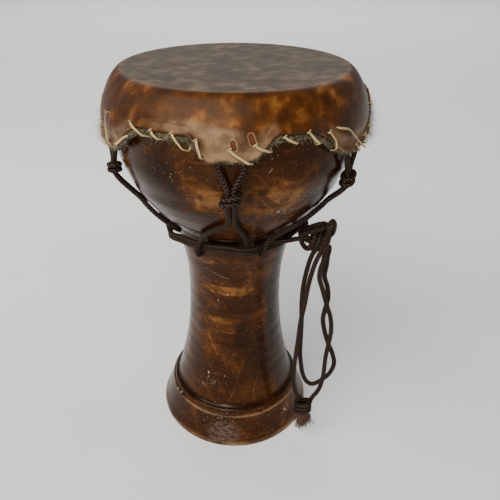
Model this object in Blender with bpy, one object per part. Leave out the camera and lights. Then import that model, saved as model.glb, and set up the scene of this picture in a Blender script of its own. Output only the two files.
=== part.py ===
"""Small goblet drum, in metres, standing on its foot with +Z up.

A turned wooden shell, open at the foot, carries a rawhide head. The head's scalloped
hem is whip stitched with a rawhide lace and holds a braided tension cord. At each
station the cord comes out of the hem as a pair, is gathered by a wrapped collar, and
is hooked round the waist cord, whose knotted ends hang down beside the foot.
"""

import math

import bmesh
import bpy
import numpy as np
from mathutils import Vector

MM = 0.001
GAP = 0.3 * MM
SEAT_GAP = 0.5 * MM

# Foot and stem: radii, and each stretch's own height
FOOT_RADIUS = 57.6 * MM
FOOT_CHAMFER = 0.8 * MM
FOOT_HEIGHT = 22.2 * MM
RIDGE_RADIUS = 49.4 * MM
RIDGE_STEP = 3.9 * MM
COVE_RISE = 2.8 * MM
FLARE_RISE = 92.0 * MM
STEM_RADIUS = 32.1 * MM
NECK_RISE = 40.0 * MM

# Seat of the waist cord, the lip over it, and the bowl
SEAT_RADIUS = 38.2 * MM
SEAT_RISE = 8.5 * MM
LIP_RISE = 1.4 * MM
LIP_STEP = 3.3 * MM
BOWL_RADIUS = 69.8 * MM
BOWL_RISE = 47.1 * MM
RIM_DEPTH = 11.5 * MM
BEARING_WIDTH = 6.0 * MM
SHELL_SEGMENTS = 30

# Share of the bowl's height, and share of its radius there
BOWL_OUTLINE = ((0.155, 0.25), (0.32, 0.48), (0.541, 0.72), (0.762, 0.875), (1.0, 1.0))

# Heights that follow, from the floor up
COVE_HEIGHT = FOOT_HEIGHT + COVE_RISE
COVE_RADIUS = RIDGE_RADIUS - RIDGE_STEP
STEM_HEIGHT = COVE_HEIGHT + FLARE_RISE
SEAT_BOTTOM = STEM_HEIGHT + NECK_RISE
SEAT_TOP = SEAT_BOTTOM + SEAT_RISE
LIP_HEIGHT = SEAT_TOP + LIP_RISE
LIP_RADIUS = SEAT_RADIUS + LIP_STEP
BOWL_HEIGHT = LIP_HEIGHT + BOWL_RISE

# Hollow of the shell
BOWL_WALL = 8.5 * MM
BORE_RADIUS = 21.5 * MM
HORN_HEIGHT = 95.0 * MM
THROAT_DROP = 20.9 * MM
THROAT_TOP = LIP_HEIGHT - THROAT_DROP
FOOT_RING_WIDTH = 12.6 * MM
FOOT_BORE_RADIUS = FOOT_RADIUS - FOOT_RING_WIDTH

# Cords
CORD_DIAMETER = 3.3 * MM
CORD_RADIUS = CORD_DIAMETER / 2
CORD_PITCH = CORD_DIAMETER + GAP

# Head
HEAD_RISE = 46.0 * MM
HEAD_HEIGHT = BOWL_HEIGHT + HEAD_RISE
SHOULDER_WIDTH = 13.4 * MM
SHOULDER_DEPTH = 26.0 * MM
SHOULDER_POWER = 1.6
SHOULDER_ANGLES = (0, 18, 36)
SKIN_THICKNESS = 1.2 * MM

# Hem of the head, which hangs round the tension cord, clear of the bowl
HEM_DROP = 20.6 * MM
HEM_HEIGHT = HEAD_HEIGHT - HEM_DROP
HEM_SLACK = 2.0 * MM
CHANNEL_RADIUS = BOWL_RADIUS + HEM_SLACK + SEAT_GAP + CORD_RADIUS
HEM_RADIUS = CHANNEL_RADIUS + CORD_RADIUS + SEAT_GAP + SKIN_THICKNESS
HEAD_SWELL = 0.1 * MM
HEAD_RADIUS = HEM_RADIUS + HEAD_SWELL
HEAD_FLAT_RADIUS = HEAD_RADIUS - SHOULDER_WIDTH
HEM_ROLL = 0.45 * MM
HEM_FLARE_SLOPE = 0.6
HEM_CORD_RISE = 2.6 * MM
LACE_HOLE_RISE = 6.7 * MM
LACE_HOLE_SIZE = 2.8 * MM
LACE_RADIUS = 0.8 * MM

# Two turns of the waist cord: the lower clears a leg behind it, the upper sits under the bowl
WAIST_RISE = 4.4 * MM
WAIST_STEP = CORD_DIAMETER + 0.1 * MM
WAIST_LOW_SLACK = 0.35 * MM
WAIST_HIGH_SLACK = 1.45 * MM
WAIST_LOW_HEIGHT = SEAT_BOTTOM + WAIST_RISE
WAIST_LOW_RADIUS = SEAT_RADIUS + SEAT_GAP + CORD_DIAMETER + GAP + CORD_RADIUS + WAIST_LOW_SLACK
WAIST_HIGH_HEIGHT = WAIST_LOW_HEIGHT + WAIST_STEP
WAIST_HIGH_RADIUS = LIP_RADIUS + SEAT_GAP + CORD_RADIUS + WAIST_HIGH_SLACK
WAIST_BULGE = 3.0 * MM
LEG_END_RISE = 3.4 * MM
WAIST_BULGE_SPREAD = 14.0
WAIST_POINTS = 70

# Gathering collars
COLLAR_HALF_WIDTH = 6.0 * MM
COLLAR_BACK_WALL = 2.2 * MM
COLLAR_FRONT_WALL = 2.8 * MM
COLLAR_HEIGHT = 7.4 * MM
COLLAR_SEGMENTS = 8

# Stations in degrees round from the front, to the right, with the hem's drop there (mm), half
# the width of the dropped tongue and of its whole scallop, how far the collar is below the
# bowl's widest place and the fork above the lip (mm), and how far left and right of the
# station the cord's legs meet the waist cord
STATIONS = (
    dict(turn=-1.5, drop=9.6, tongue=6.5, scallop=17.0, collar=3.5, fork=25.6, left=26, right=11),
    dict(turn=59.0, drop=15.0, tongue=9.0, scallop=33.0, collar=8.0, fork=24.1, left=38, right=12),
    dict(turn=117.0, drop=12.0, tongue=7.0, scallop=20.0, collar=5.0, fork=23.1, left=25, right=11),
    dict(turn=175.5, drop=13.5, tongue=8.0, scallop=22.0, collar=6.0, fork=24.6, left=24, right=12),
    dict(turn=234.0, drop=11.0, tongue=7.0, scallop=19.0, collar=4.0, fork=22.6, left=26, right=11),
    dict(turn=292.5, drop=15.5, tongue=10.0, scallop=31.0, collar=5.0, fork=23.1, left=25, right=12),
)
# Whip stitches in the run of hem that follows each station, to the right
STITCHES = (6, 6, 6, 6, 6, 7)

# Knot that ties the waist cord, and the knot that ends its two tails
TIE_TURN = 55.0
TIE_REACH = 14.1 * MM
TIE_RISE = 1.2 * MM
TIE_RADIUS = 7.6 * MM
TASSEL_OFFSET = Vector((1.5, -12.0, -137.5)) * MM
TASSEL_RADIUS = 6.4 * MM
FRAY_BOTTOM = 4.0 * MM
FRAY_RADIUS = 7.0 * MM

# Routes of the hanging cords, in millimetres from the tie knot's centre
BOW_LOOP = (
    (-1.2, -1.7, -12.8), (-2.9, -2.1, -19.9), (-4.8, -3.0, -33.8), (-5.1, -4.0, -49.2),
    (-4.2, -4.8, -62.8), (-3.9, -5.6, -77.9), (-3.6, -6.2, -89.2), (-2.4, -6.7, -98.2),
    (-0.7, -7.1, -107.4), (2.3, -7.5, -114.5), (6.8, -7.6, -117.7), (12.3, -7.5, -114.5),
    (18.1, -7.2, -107.9), (20.7, -6.7, -99.1), (18.9, -6.3, -90.1), (15.0, -5.7, -80.5),
    (11.7, -5.2, -70.3), (9.8, -4.6, -60.4), (10.6, -4.1, -51.6), (11.7, -3.6, -43.7),
    (10.6, -3.1, -35.4), (8.0, -2.6, -27.2), (8.6, -2.1, -19.2), (8.7, -1.8, -12.8),
)
LEFT_TAIL = (
    (1.5, -6.0, -12.4), (-0.2, -6.4, -18.5), (-2.4, -7.2, -30.8), (-3.9, -8.2, -45.9),
    (-5.6, -9.0, -59.3), (-6.3, -9.8, -74.1), (-7.0, -10.4, -85.3), (-7.6, -11.1, -98.6),
    (-7.2, -11.8, -112.5), (-4.4, -12.3, -123.0), (-2.5, -12.6, -128.0),
)
RIGHT_TAIL = (
    (5.7, -5.9, -11.4), (5.4, -6.2, -14.8), (4.2, -6.5, -19.2), (4.1, -6.9, -25.7),
    (6.3, -7.4, -33.0), (8.9, -7.9, -41.3), (11.1, -8.3, -48.2), (13.7, -8.8, -56.1),
    (15.0, -9.4, -66.6), (14.3, -10.0, -77.5), (13.3, -10.6, -88.8), (13.2, -11.3, -102.2),
    (12.4, -11.8, -112.5), (10.3, -12.2, -120.1), (7.2, -12.4, -125.4),
)
TAIL_POINT_STEP = 3.0 * CORD_DIAMETER


def clear_scene():
    """Remove every object, so that the file holds only the drum."""
    for thing in list(bpy.data.objects):
        bpy.data.objects.remove(thing, do_unlink=True)


def finish(name, colour, roughness):
    """Make a dielectric Principled material."""
    material = bpy.data.materials.new(name)
    material.use_nodes = True
    shader = material.node_tree.nodes["Principled BSDF"]
    shader.inputs["Base Color"].default_value = (*colour, 1.0)
    shader.inputs["Roughness"].default_value = roughness
    shader.inputs["Metallic"].default_value = 0.0
    return material


def add_object(name, data, material):
    """Link mesh or curve data to the scene as one named piece."""
    piece = bpy.data.objects.new(name, data)
    if not data.materials:
        data.materials.append(material)
    bpy.context.scene.collection.objects.link(piece)
    return piece


def mesh_from_rows(name, rows, closed, hollow_cells=()):
    """Join equal rings of points into quads, and cap the first and last unless closed.

    A hollow cell (row, column) is left open on the ring strip that starts at that row,
    and cells come in pairs, whose rims are joined into the walls of one hole."""
    mesh = bpy.data.meshes.new(name)
    shape = bmesh.new()
    rings = [[shape.verts.new(point) for point in row] for row in rows]
    count = len(rings[0])
    strips = len(rings) if closed else len(rings) - 1
    open_cells = {cell for pair in hollow_cells for cell in pair}

    def corners(row, column):
        first, second = rings[row], rings[(row + 1) % len(rings)]
        after = (column + 1) % count
        return first[column], first[after], second[after], second[column]

    for row in range(strips):
        for column in range(count):
            if (row, column) not in open_cells:
                shape.faces.new(corners(row, column))
    if not closed:
        shape.faces.new(reversed(rings[0]))
        shape.faces.new(rings[-1])
    for outer_cell, inner_cell in hollow_cells:
        outside = corners(*outer_cell)
        inside = corners(*inner_cell)
        facing = (inside[3], inside[2], inside[1], inside[0])
        for corner in range(4):
            after = (corner + 1) % 4
            shape.faces.new((outside[corner], outside[after], facing[after], facing[corner]))
    bmesh.ops.recalc_face_normals(shape, faces=shape.faces)
    shape.to_mesh(mesh)
    shape.free()
    mesh.shade_smooth()
    mesh.set_sharp_from_angle(angle=math.radians(40))
    return mesh


def cylindrical(turn, radius, height):
    """Point at an azimuth in degrees, 0 at the front (-Y) and growing to the right (+X)."""
    angle = math.radians(turn)
    return Vector((radius * math.sin(angle), -radius * math.cos(angle), height))


def smooth_curve(points, step):
    """Evenly spaced points on a Catmull-Rom curve through the route's points."""
    route = np.array([tuple(point) for point in points])
    padded = np.vstack([2 * route[0] - route[1], route, 2 * route[-1] - route[-2]])
    share = np.linspace(0, 1, 24, endpoint=False)[:, None]
    spans = []
    for a, b, c, d in zip(padded, padded[1:], padded[2:], padded[3:]):
        spans.append(0.5 * (2 * b + (c - a) * share + (2 * a - 5 * b + 4 * c - d) * share ** 2
                            + (3 * b - a - 3 * c + d) * share ** 3))
    dense = np.vstack(spans + [route[-1:]])
    lengths = np.concatenate([[0], np.cumsum(np.linalg.norm(np.diff(dense, axis=0), axis=1))])
    count = max(2, round(lengths[-1] / step) + 1)
    marks = np.linspace(0, lengths[-1], count)
    return [Vector([np.interp(mark, lengths, dense[:, axis]) for axis in range(3)]) for mark in marks]


def cord_object(name, points, radius, sides_step, material, closed=False):
    """Tube along straight runs between points, as a bevelled curve with filled caps."""
    curve = bpy.data.curves.new(name, "CURVE")
    curve.dimensions = "3D"
    curve.bevel_depth = radius
    curve.bevel_resolution = sides_step
    curve.use_fill_caps = True
    spline = curve.splines.new("POLY")
    spline.points.add(len(points) - 1)
    for knot, point in zip(spline.points, points):
        knot.co = (*point, 1.0)
    spline.use_cyclic_u = closed
    return add_object(name, curve, material)


def tie_centre():
    """Centre of the knot that ties the waist cord, out from the upper turn."""
    return cylindrical(TIE_TURN, WAIST_HIGH_RADIUS + TIE_REACH, WAIST_HIGH_HEIGHT + TIE_RISE)


def shoulder_point(angle, inward):
    """Radius and height on the head's shoulder, a superellipse quarter, set in by a depth.

    Angle 0 is the edge of the flat, and 90 degrees is where the skin is widest."""
    across = math.sin(math.radians(angle)) ** (2 / SHOULDER_POWER)
    up = math.cos(math.radians(angle)) ** (2 / SHOULDER_POWER)
    normal = Vector((across ** (SHOULDER_POWER - 1) / SHOULDER_WIDTH,
                     up ** (SHOULDER_POWER - 1) / SHOULDER_DEPTH))
    normal.normalize()
    radius = HEAD_FLAT_RADIUS + SHOULDER_WIDTH * across - inward * normal.x
    height = HEAD_HEIGHT - SHOULDER_DEPTH + SHOULDER_DEPTH * up - inward * normal.y
    return radius, height


def shell_outline():
    """Radius and height down the shell's outer side, from the bearing edge to the foot."""
    outline = []
    for angle in SHOULDER_ANGLES:
        radius, height = shoulder_point(angle, SKIN_THICKNESS + SEAT_GAP)
        outline.append((min(radius, BOWL_RADIUS), height))
    outline.append((BOWL_RADIUS, HEAD_HEIGHT - RIM_DEPTH))
    for up, out in reversed(BOWL_OUTLINE):
        outline.append((LIP_RADIUS + (BOWL_RADIUS - LIP_RADIUS) * out,
                        LIP_HEIGHT + (BOWL_HEIGHT - LIP_HEIGHT) * up))
    outline.append((LIP_RADIUS, LIP_HEIGHT))
    outline.append((SEAT_RADIUS, SEAT_TOP))
    outline.append((SEAT_RADIUS, SEAT_BOTTOM))
    for share in (0.72, 0.4, 0.0):
        outline.append((STEM_RADIUS + (SEAT_RADIUS - STEM_RADIUS) * share ** 1.6,
                        STEM_HEIGHT + (SEAT_BOTTOM - STEM_HEIGHT) * share))
    for share in (0.7, 0.42, 0.2, 0.07, 0.0):
        outline.append((STEM_RADIUS + (COVE_RADIUS - STEM_RADIUS) * (1 - share) ** 2.2,
                        COVE_HEIGHT + (STEM_HEIGHT - COVE_HEIGHT) * share))
    for share in (1.0, 0.85, 0.4):
        outline.append((RIDGE_RADIUS + (FOOT_RADIUS - RIDGE_RADIUS) * (1 - share) ** 1.2,
                        FOOT_HEIGHT * share))
    outline.append((FOOT_RADIUS, FOOT_CHAMFER))
    outline.append((FOOT_RADIUS - FOOT_CHAMFER, 0.0))
    return outline


def hollow_outline():
    """Radius and height up the shell's inner side, from the foot's mouth to the bearing edge."""
    top = shoulder_point(0, SKIN_THICKNESS + SEAT_GAP)
    mouth = top[0] - BEARING_WIDTH
    outline = [(FOOT_BORE_RADIUS, 0.0)]
    for share in (0.35, 1.0):
        outline.append((BORE_RADIUS + (FOOT_BORE_RADIUS - BORE_RADIUS) * (1 - share) ** 1.7,
                        HORN_HEIGHT * share))
    outline.append((BORE_RADIUS, THROAT_TOP))
    for up, out in BOWL_OUTLINE[1::2] + BOWL_OUTLINE[-1:]:
        outline.append((BORE_RADIUS + (BOWL_RADIUS - BOWL_WALL - BORE_RADIUS) * out,
                        LIP_HEIGHT + (BOWL_HEIGHT - LIP_HEIGHT) * up))
    outline.append((mouth, top[1]))
    return outline


def shell_radius(height):
    """Outer radius of the shell at a height below its rim."""
    outline = sorted((z, r) for r, z in shell_outline())
    return float(np.interp(height, [z for z, _ in outline], [r for _, r in outline]))


def over_shell(turn, height, clearance):
    """Point off the shell's outer surface, along its normal there."""
    step = 1.5 * MM
    rise = (shell_radius(height + step) - shell_radius(height - step)) / (2 * step)
    length = math.hypot(1.0, rise)
    return cylindrical(turn, shell_radius(height) + clearance / length, height - clearance * rise / length)


def build_shell(material):
    """Turned shell: one closed outline swept round the axis."""
    outline = shell_outline() + hollow_outline()
    mesh = bpy.data.meshes.new("shell")
    edges = [(index, (index + 1) % len(outline)) for index in range(len(outline))]
    mesh.from_pydata([(radius, 0.0, height) for radius, height in outline], edges, [])
    shell = add_object("shell", mesh, material)
    screw = shell.modifiers.new("Turning", "SCREW")
    screw.axis = "Z"
    screw.angle = 2 * math.pi
    screw.steps = SHELL_SEGMENTS
    screw.render_steps = SHELL_SEGMENTS
    screw.use_merge_vertices = True
    screw.merge_threshold = 0.00001
    screw.use_smooth_shade = True
    return shell


def turn_between(first, second):
    """Degrees from one azimuth on to the next, going right."""
    return (second - first) % 360.0


def hem_stitches():
    """Azimuths of the lace's holes, and of its passes under the hem, in pairs."""
    pairs = []
    for index, count in enumerate(STITCHES):
        start = STATIONS[index]["turn"]
        run = turn_between(start, STATIONS[(index + 1) % len(STATIONS)]["turn"])
        pitch = run / count
        pairs += [(start + pitch * (step + 0.5), start + pitch * (step + 1)) for step in range(count)]
    return pairs


def hem_height(turn):
    """Height of the hem: level between stations, and drawn down to a tongue at each."""
    height = HEM_HEIGHT
    for station in STATIONS:
        away = abs((turn - station["turn"] + 180) % 360 - 180)
        share = (station["scallop"] - away) / (station["scallop"] - station["tongue"])
        share = min(max(share, 0.0), 1.0)
        height -= station["drop"] * MM * share * share * (3 - 2 * share)
    return height


def hem_edge(turn):
    """Height of the hem as cut: straight from one lace hole to the next."""
    holes = [hole for hole, _ in hem_stitches()]
    return float(np.interp(turn, holes, [hem_height(hole) for hole in holes], period=360.0))


def skin_radius(height, hem):
    """Outer radius of the skin's side, which flares a little to its hem."""
    drop = min(max((height - HEAD_HEIGHT + SHOULDER_DEPTH) / SHOULDER_DEPTH, 0.0), 1.0)
    across = (1 - drop ** SHOULDER_POWER) ** (1 / SHOULDER_POWER)
    shoulder = HEAD_FLAT_RADIUS + SHOULDER_WIDTH * across
    flare = HEM_RADIUS - HEM_FLARE_SLOPE * max(0.0, height - hem - LACE_HOLE_RISE + LACE_HOLE_SIZE / 2)
    return max(shoulder, flare)


def build_head(material):
    """Rawhide head: flat, shoulder and scalloped side, pierced for the lace above its hem."""
    half_hole = math.degrees(LACE_HOLE_SIZE / 2 / HEM_RADIUS)
    turns = []
    for hole, _ in hem_stitches():
        turns += [hole - half_hole, hole + half_hole]
    rows = [[cylindrical(turn, *shoulder_point(angle, 0.0)) for turn in turns] for angle in SHOULDER_ANGLES]
    edge_height = shoulder_point(SHOULDER_ANGLES[-1], 0.0)[1]
    hems = [hem_edge(turn) for turn in turns]

    def side_row(rise, inward, bulge=0.0):
        row = []
        for turn, hem in zip(turns, hems):
            radius = skin_radius(hem + rise, hem) + bulge - inward
            row.append(cylindrical(turn, radius, hem + rise))
        return row

    def middle_row():
        row = []
        for turn, hem in zip(turns, hems):
            height = 0.5 * (edge_height + hem + LACE_HOLE_RISE + LACE_HOLE_SIZE / 2)
            row.append(cylindrical(turn, skin_radius(height, hem), height))
        return row

    hole_top = LACE_HOLE_RISE + LACE_HOLE_SIZE / 2
    hole_bottom = LACE_HOLE_RISE - LACE_HOLE_SIZE / 2
    rows += [middle_row(), side_row(hole_top, 0.0), side_row(hole_bottom, 0.0)]
    rows += [side_row(0.6 * HEM_CORD_RISE, 0.0, HEM_ROLL), side_row(0.0, 0.0)]
    rows += [side_row(0.0, SKIN_THICKNESS), side_row(hole_bottom, SKIN_THICKNESS)]
    rows += [side_row(hole_top, SKIN_THICKNESS)]
    rows += [[cylindrical(turn, *shoulder_point(angle, SKIN_THICKNESS)) for turn in turns]
             for angle in reversed(SHOULDER_ANGLES)]
    holes = [((4, column), (9, column)) for column in range(0, len(turns), 2)]
    mesh = mesh_from_rows("drum_head", rows, closed=False, hollow_cells=holes)
    return add_object("drum_head", mesh, material)


def build_lace(material):
    """Whip-stitched lace: in through each hole, behind the hem, under it and back outside."""
    inner = BOWL_RADIUS + GAP + LACE_RADIUS
    outer = HEM_RADIUS + GAP + 1.2 * LACE_RADIUS
    under = HEM_RADIUS + HEM_ROLL + GAP + 1.3 * LACE_RADIUS
    points = []
    for hole, low in hem_stitches():
        hole_hem, low_hem = hem_edge(hole), hem_edge(low)
        slope = (hem_edge(low + 1) - hem_edge(low - 1)) / (HEM_RADIUS * math.radians(2))
        below = -(GAP + 1.35 * LACE_RADIUS) * math.hypot(1, slope)
        points.append(cylindrical(hole, inner, hole_hem + LACE_HOLE_RISE))
        points.append(cylindrical(hole, outer, hole_hem + LACE_HOLE_RISE))
        points.append(cylindrical(low, under, low_hem + below))
        points.append(cylindrical(low, inner, low_hem + below))
    return cord_object("hem_lace", points, LACE_RADIUS, 0, material, closed=True)


def waist_bulge(turn):
    """How far the waist cord stands out where a leg of the tension cord comes up behind it."""
    out = 0.0
    for station in STATIONS:
        away = abs((turn - station["turn"] - station["right"] + 180) % 360 - 180)
        if away < WAIST_BULGE_SPREAD:
            out = max(out, 0.5 * WAIST_BULGE * (1 + math.cos(math.pi * away / WAIST_BULGE_SPREAD)))
    return out


def collar_height(station):
    """Height of a station's collar, below the bowl's widest place."""
    return BOWL_HEIGHT - station["collar"] * MM


def collar_radius(station):
    """Radius at which a gathered pair of cords runs through its collar."""
    height = collar_height(station)
    widest = max(shell_radius(height + side * COLLAR_HEIGHT / 2) for side in (-1, 0, 1))
    return widest + GAP + COLLAR_BACK_WALL + GAP + CORD_RADIUS


def station_route(station, hem_pitch_left, hem_pitch_right):
    """Route of the tension cord from one hem corner, round the waist cord, to the other."""
    turn = station["turn"]
    lift = CORD_RADIUS + SEAT_GAP
    pair_radius = collar_radius(station)
    fork_height = LIP_HEIGHT + station["fork"] * MM
    half_pair = math.degrees(CORD_PITCH / 2 / pair_radius)
    fork_turn = math.degrees(CORD_PITCH / 2 / (shell_radius(fork_height) + lift))
    top = collar_height(station) + 0.7 * COLLAR_HEIGHT
    bottom = collar_height(station) - 0.6 * COLLAR_HEIGHT
    hook = turn - station["left"]
    rise = turn + station["right"]

    def hem_corner(side, pitch):
        corner = turn + side * pitch / 2
        hem = hem_edge(corner)
        return [cylindrical(corner, CHANNEL_RADIUS, hem + HEM_CORD_RISE),
                cylindrical(corner, CHANNEL_RADIUS, hem - CORD_DIAMETER)]

    def gathered(side):
        return [cylindrical(turn + side * half_pair, pair_radius, top),
                cylindrical(turn + side * half_pair, pair_radius, bottom),
                over_shell(turn + side * 1.05 * fork_turn, fork_height, lift)]

    def leg(side, foot_turn):
        leaving = turn + side * fork_turn
        steps = max(2, round(abs(foot_turn - leaving) / 12))
        points = []
        for step in range(1, steps + 1):
            share = step / (steps + 1)
            height = fork_height + (LIP_HEIGHT + LEG_END_RISE - fork_height) * share
            points.append(over_shell(leaving + (foot_turn - leaving) * share, height, lift))
        return points

    route = hem_corner(-1, hem_pitch_left) + gathered(-1) + leg(-1, hook)
    low, high = WAIST_LOW_RADIUS, WAIST_HIGH_RADIUS
    low_height, high_height = WAIST_LOW_HEIGHT, WAIST_HIGH_HEIGHT
    route += [
        cylindrical(hook + 2.5, high + 3.1 * MM, high_height + 3.4 * MM),
        cylindrical(hook + 0.3, high + 4.2 * MM, high_height - 1.2 * MM),
        cylindrical(hook - 0.5, low + 2.2 * MM, low_height - 3.9 * MM),
        cylindrical(hook + 2.0, low - 3.2 * MM, low_height - 2.5 * MM),
    ]
    behind = SEAT_RADIUS + SEAT_GAP + CORD_RADIUS
    runs = max(3, round((station["left"] + station["right"]) / 11))
    for step in range(runs):
        share = step / (runs - 1)
        route.append(cylindrical(hook + 4 + (rise - hook - 10) * share, behind, low_height + 1.0 * MM))
    route += [
        cylindrical(rise - 2.5, behind + 1.0 * MM, high_height - 0.4 * MM),
        cylindrical(rise - 0.5, behind + 2.8 * MM, high_height + 0.8 * MM),
        cylindrical(rise, high + 0.2 * MM, high_height + 2.9 * MM),
    ]
    route += leg(1, rise)[::-1] + gathered(1)[::-1] + hem_corner(1, hem_pitch_right)[::-1]
    return route


def build_tension_cord(material):
    """One endless cord: along the hem from station to station, and down to the waist at each."""
    points = []
    for index, station in enumerate(STATIONS):
        after = STATIONS[(index + 1) % len(STATIONS)]
        pitch = turn_between(station["turn"], after["turn"]) / STITCHES[index]
        before_count = STITCHES[index - 1]
        before_pitch = turn_between(STATIONS[index - 1]["turn"], station["turn"]) / before_count
        points += station_route(station, before_pitch, pitch)
        for step in range(1, STITCHES[index] - 1):
            turn = station["turn"] + pitch * (step + 0.5)
            points.append(cylindrical(turn, CHANNEL_RADIUS, hem_edge(turn) + HEM_CORD_RISE))
    return cord_object("tension_cord", points, CORD_RADIUS, 1, material, closed=True)


def build_waist_cord(material):
    """Two turns round the neck, stepping from the lower to the upper beside the tie knot."""
    knot_reach = WAIST_HIGH_RADIUS + TIE_REACH - TIE_RADIUS
    first, last = TIE_TURN + 12, TIE_TURN + 700
    step_from, step_to = TIE_TURN + 342, TIE_TURN + 356
    points = [cylindrical(TIE_TURN + 4, knot_reach - 1.2 * MM, WAIST_LOW_HEIGHT + 0.4 * MM),
              cylindrical(TIE_TURN + 8, WAIST_LOW_RADIUS + 2.2 * MM, WAIST_LOW_HEIGHT)]
    for index in range(WAIST_POINTS + 1):
        turn = first + (last - first) * index / WAIST_POINTS
        share = min(max((turn - step_from) / (step_to - step_from), 0.0), 1.0)
        share = share * share * (3 - 2 * share)
        radius = WAIST_LOW_RADIUS + (WAIST_HIGH_RADIUS - WAIST_LOW_RADIUS) * share + waist_bulge(turn)
        points.append(cylindrical(turn, radius, WAIST_LOW_HEIGHT + WAIST_STEP * share))
    points += [cylindrical(last + 5, WAIST_HIGH_RADIUS + 3.4 * MM, WAIST_HIGH_HEIGHT + 0.3 * MM),
               cylindrical(last + 9.5, WAIST_HIGH_RADIUS + 5.6 * MM, WAIST_HIGH_HEIGHT + 0.8 * MM)]
    return cord_object("waist_cord", points, CORD_RADIUS, 1, material)


def build_collars(material):
    """Wrapped collar at each station: a flattened ring that grips the pair of cords."""
    half_opening = CORD_PITCH / 2 + CORD_RADIUS + GAP
    depth_opening = CORD_RADIUS + GAP

    def ring(half_width, back, front, height):
        row = []
        for index in range(COLLAR_SEGMENTS):
            angle = 2 * math.pi * (index + 0.5) / COLLAR_SEGMENTS
            across, deep = math.cos(angle), math.sin(angle)
            fold = (abs(across) ** 3 + abs(deep) ** 3) ** (1 / 3)
            depth = front if deep < 0 else back
            row.append((half_width * across / fold, depth * deep / fold, height))
        return row

    half = COLLAR_HEIGHT / 2
    back = depth_opening + COLLAR_BACK_WALL
    front = depth_opening + COLLAR_FRONT_WALL
    inner = [ring(1.1 * half_opening, 1.14 * depth_opening, 1.14 * depth_opening, side * half * 0.8)
             for side in (1, -1)]
    outer = [ring(0.9 * COLLAR_HALF_WIDTH, back, 0.85 * front, -half),
             ring(COLLAR_HALF_WIDTH, back, front, 0.0),
             ring(0.9 * COLLAR_HALF_WIDTH, back, 0.85 * front, half)]
    mesh = mesh_from_rows("collar", inner + outer, closed=True)
    for number, station in enumerate(STATIONS, 1):
        collar = add_object(f"gather_collar_{number}", mesh, material)
        collar.location = cylindrical(station["turn"], collar_radius(station), collar_height(station))
        collar.rotation_euler.z = math.radians(station["turn"])


def lumpy_rows(centre, radius, lobes, rings, segments):
    """Rings of a ball whose surface rises over each lobe, given as direction and height."""
    rows = []
    for ring in range(1, rings):
        polar = math.pi * ring / rings
        row = []
        for index in range(segments):
            angle = 2 * math.pi * index / segments
            way = Vector((math.sin(polar) * math.cos(angle), math.sin(polar) * math.sin(angle),
                          math.cos(polar)))
            reach = radius
            for direction, height in lobes:
                reach += height * math.exp(5.0 * (way.dot(direction.normalized()) - 1))
            row.append(centre + way * reach)
        rows.append(row)
    return rows


def build_tie_knot(material):
    """Double knot that ties the waist cord's ends, with its bights standing out as lobes."""
    lobes = ((Vector((0.05, -0.3, -0.95)), 4.2 * MM), (Vector((0.62, -0.25, 0.75)), 4.8 * MM),
             (Vector((-0.9, -0.25, 0.1)), 3.0 * MM))
    rows = lumpy_rows(tie_centre(), TIE_RADIUS, lobes, 9, 14)
    return add_object("tie_knot", mesh_from_rows("tie_knot", rows, closed=False), material)


def build_tassel(material):
    """Overhand knot that joins the two tails, with their frayed ends spread below it."""
    lobes = ((Vector((-0.4, -0.3, 0.85)), 1.6 * MM), (Vector((0.7, -0.3, 0.35)), 1.6 * MM),
             (Vector((0.0, -1.0, -0.2)), 1.2 * MM))
    centre = tie_centre() + TASSEL_OFFSET
    rows = lumpy_rows(centre, TASSEL_RADIUS, lobes, 8, 12)[:-2]
    waist_height = rows[-1][0].z
    for share in (0.5, 1.0):
        height = waist_height + (FRAY_BOTTOM - waist_height) * share
        spread = FRAY_RADIUS * (0.72 + 0.28 * share)
        row = []
        for index in range(12):
            angle = 2 * math.pi * index / 12
            ruffle = spread * (1 + 0.12 * (-1) ** index)
            row.append(Vector((centre.x + ruffle * math.cos(angle),
                               centre.y + 0.8 * ruffle * math.sin(angle), height)))
        rows.append(row)
    return add_object("tassel_knot", mesh_from_rows("tassel_knot", rows, closed=False), material)


def build_tails(material):
    """Hanging bow loop and the two tails of the waist cord."""
    for name, route in (("bow_loop", BOW_LOOP), ("left_tail", LEFT_TAIL), ("right_tail", RIGHT_TAIL)):
        points = smooth_curve([tie_centre() + Vector(point) * MM for point in route], TAIL_POINT_STEP)
        cord_object(name, points, CORD_RADIUS, 2, material)


def main():
    clear_scene()
    wood = finish("lacquered_wood", (0.13, 0.045, 0.02), 0.25)
    hide = finish("rawhide", (0.30, 0.12, 0.045), 0.4)
    straw = finish("lace_hide", (0.58, 0.45, 0.24), 0.6)
    braid = finish("braided_cord", (0.045, 0.028, 0.02), 0.7)
    build_shell(wood)
    build_head(hide)
    build_lace(straw)
    build_tension_cord(braid)
    build_waist_cord(braid)
    build_collars(braid)
    build_tie_knot(braid)
    build_tails(braid)
    build_tassel(braid)


main()
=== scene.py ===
"""Surfaces, cords and stage of a small goblet drum, laid out as an add-on and run as a script.

A turned, lacquered shell carries a rawhide head. The head's hem is folded round a braided
cord and whip stitched with a pale lace. Pairs of cord run from the hem through wrapped
collars to a cord round the waist, whose knotted ends hang beside the foot. Everything is
in metres, +Z up, with the drum's axis on Z and its front towards -Y.
"""

import math

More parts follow.
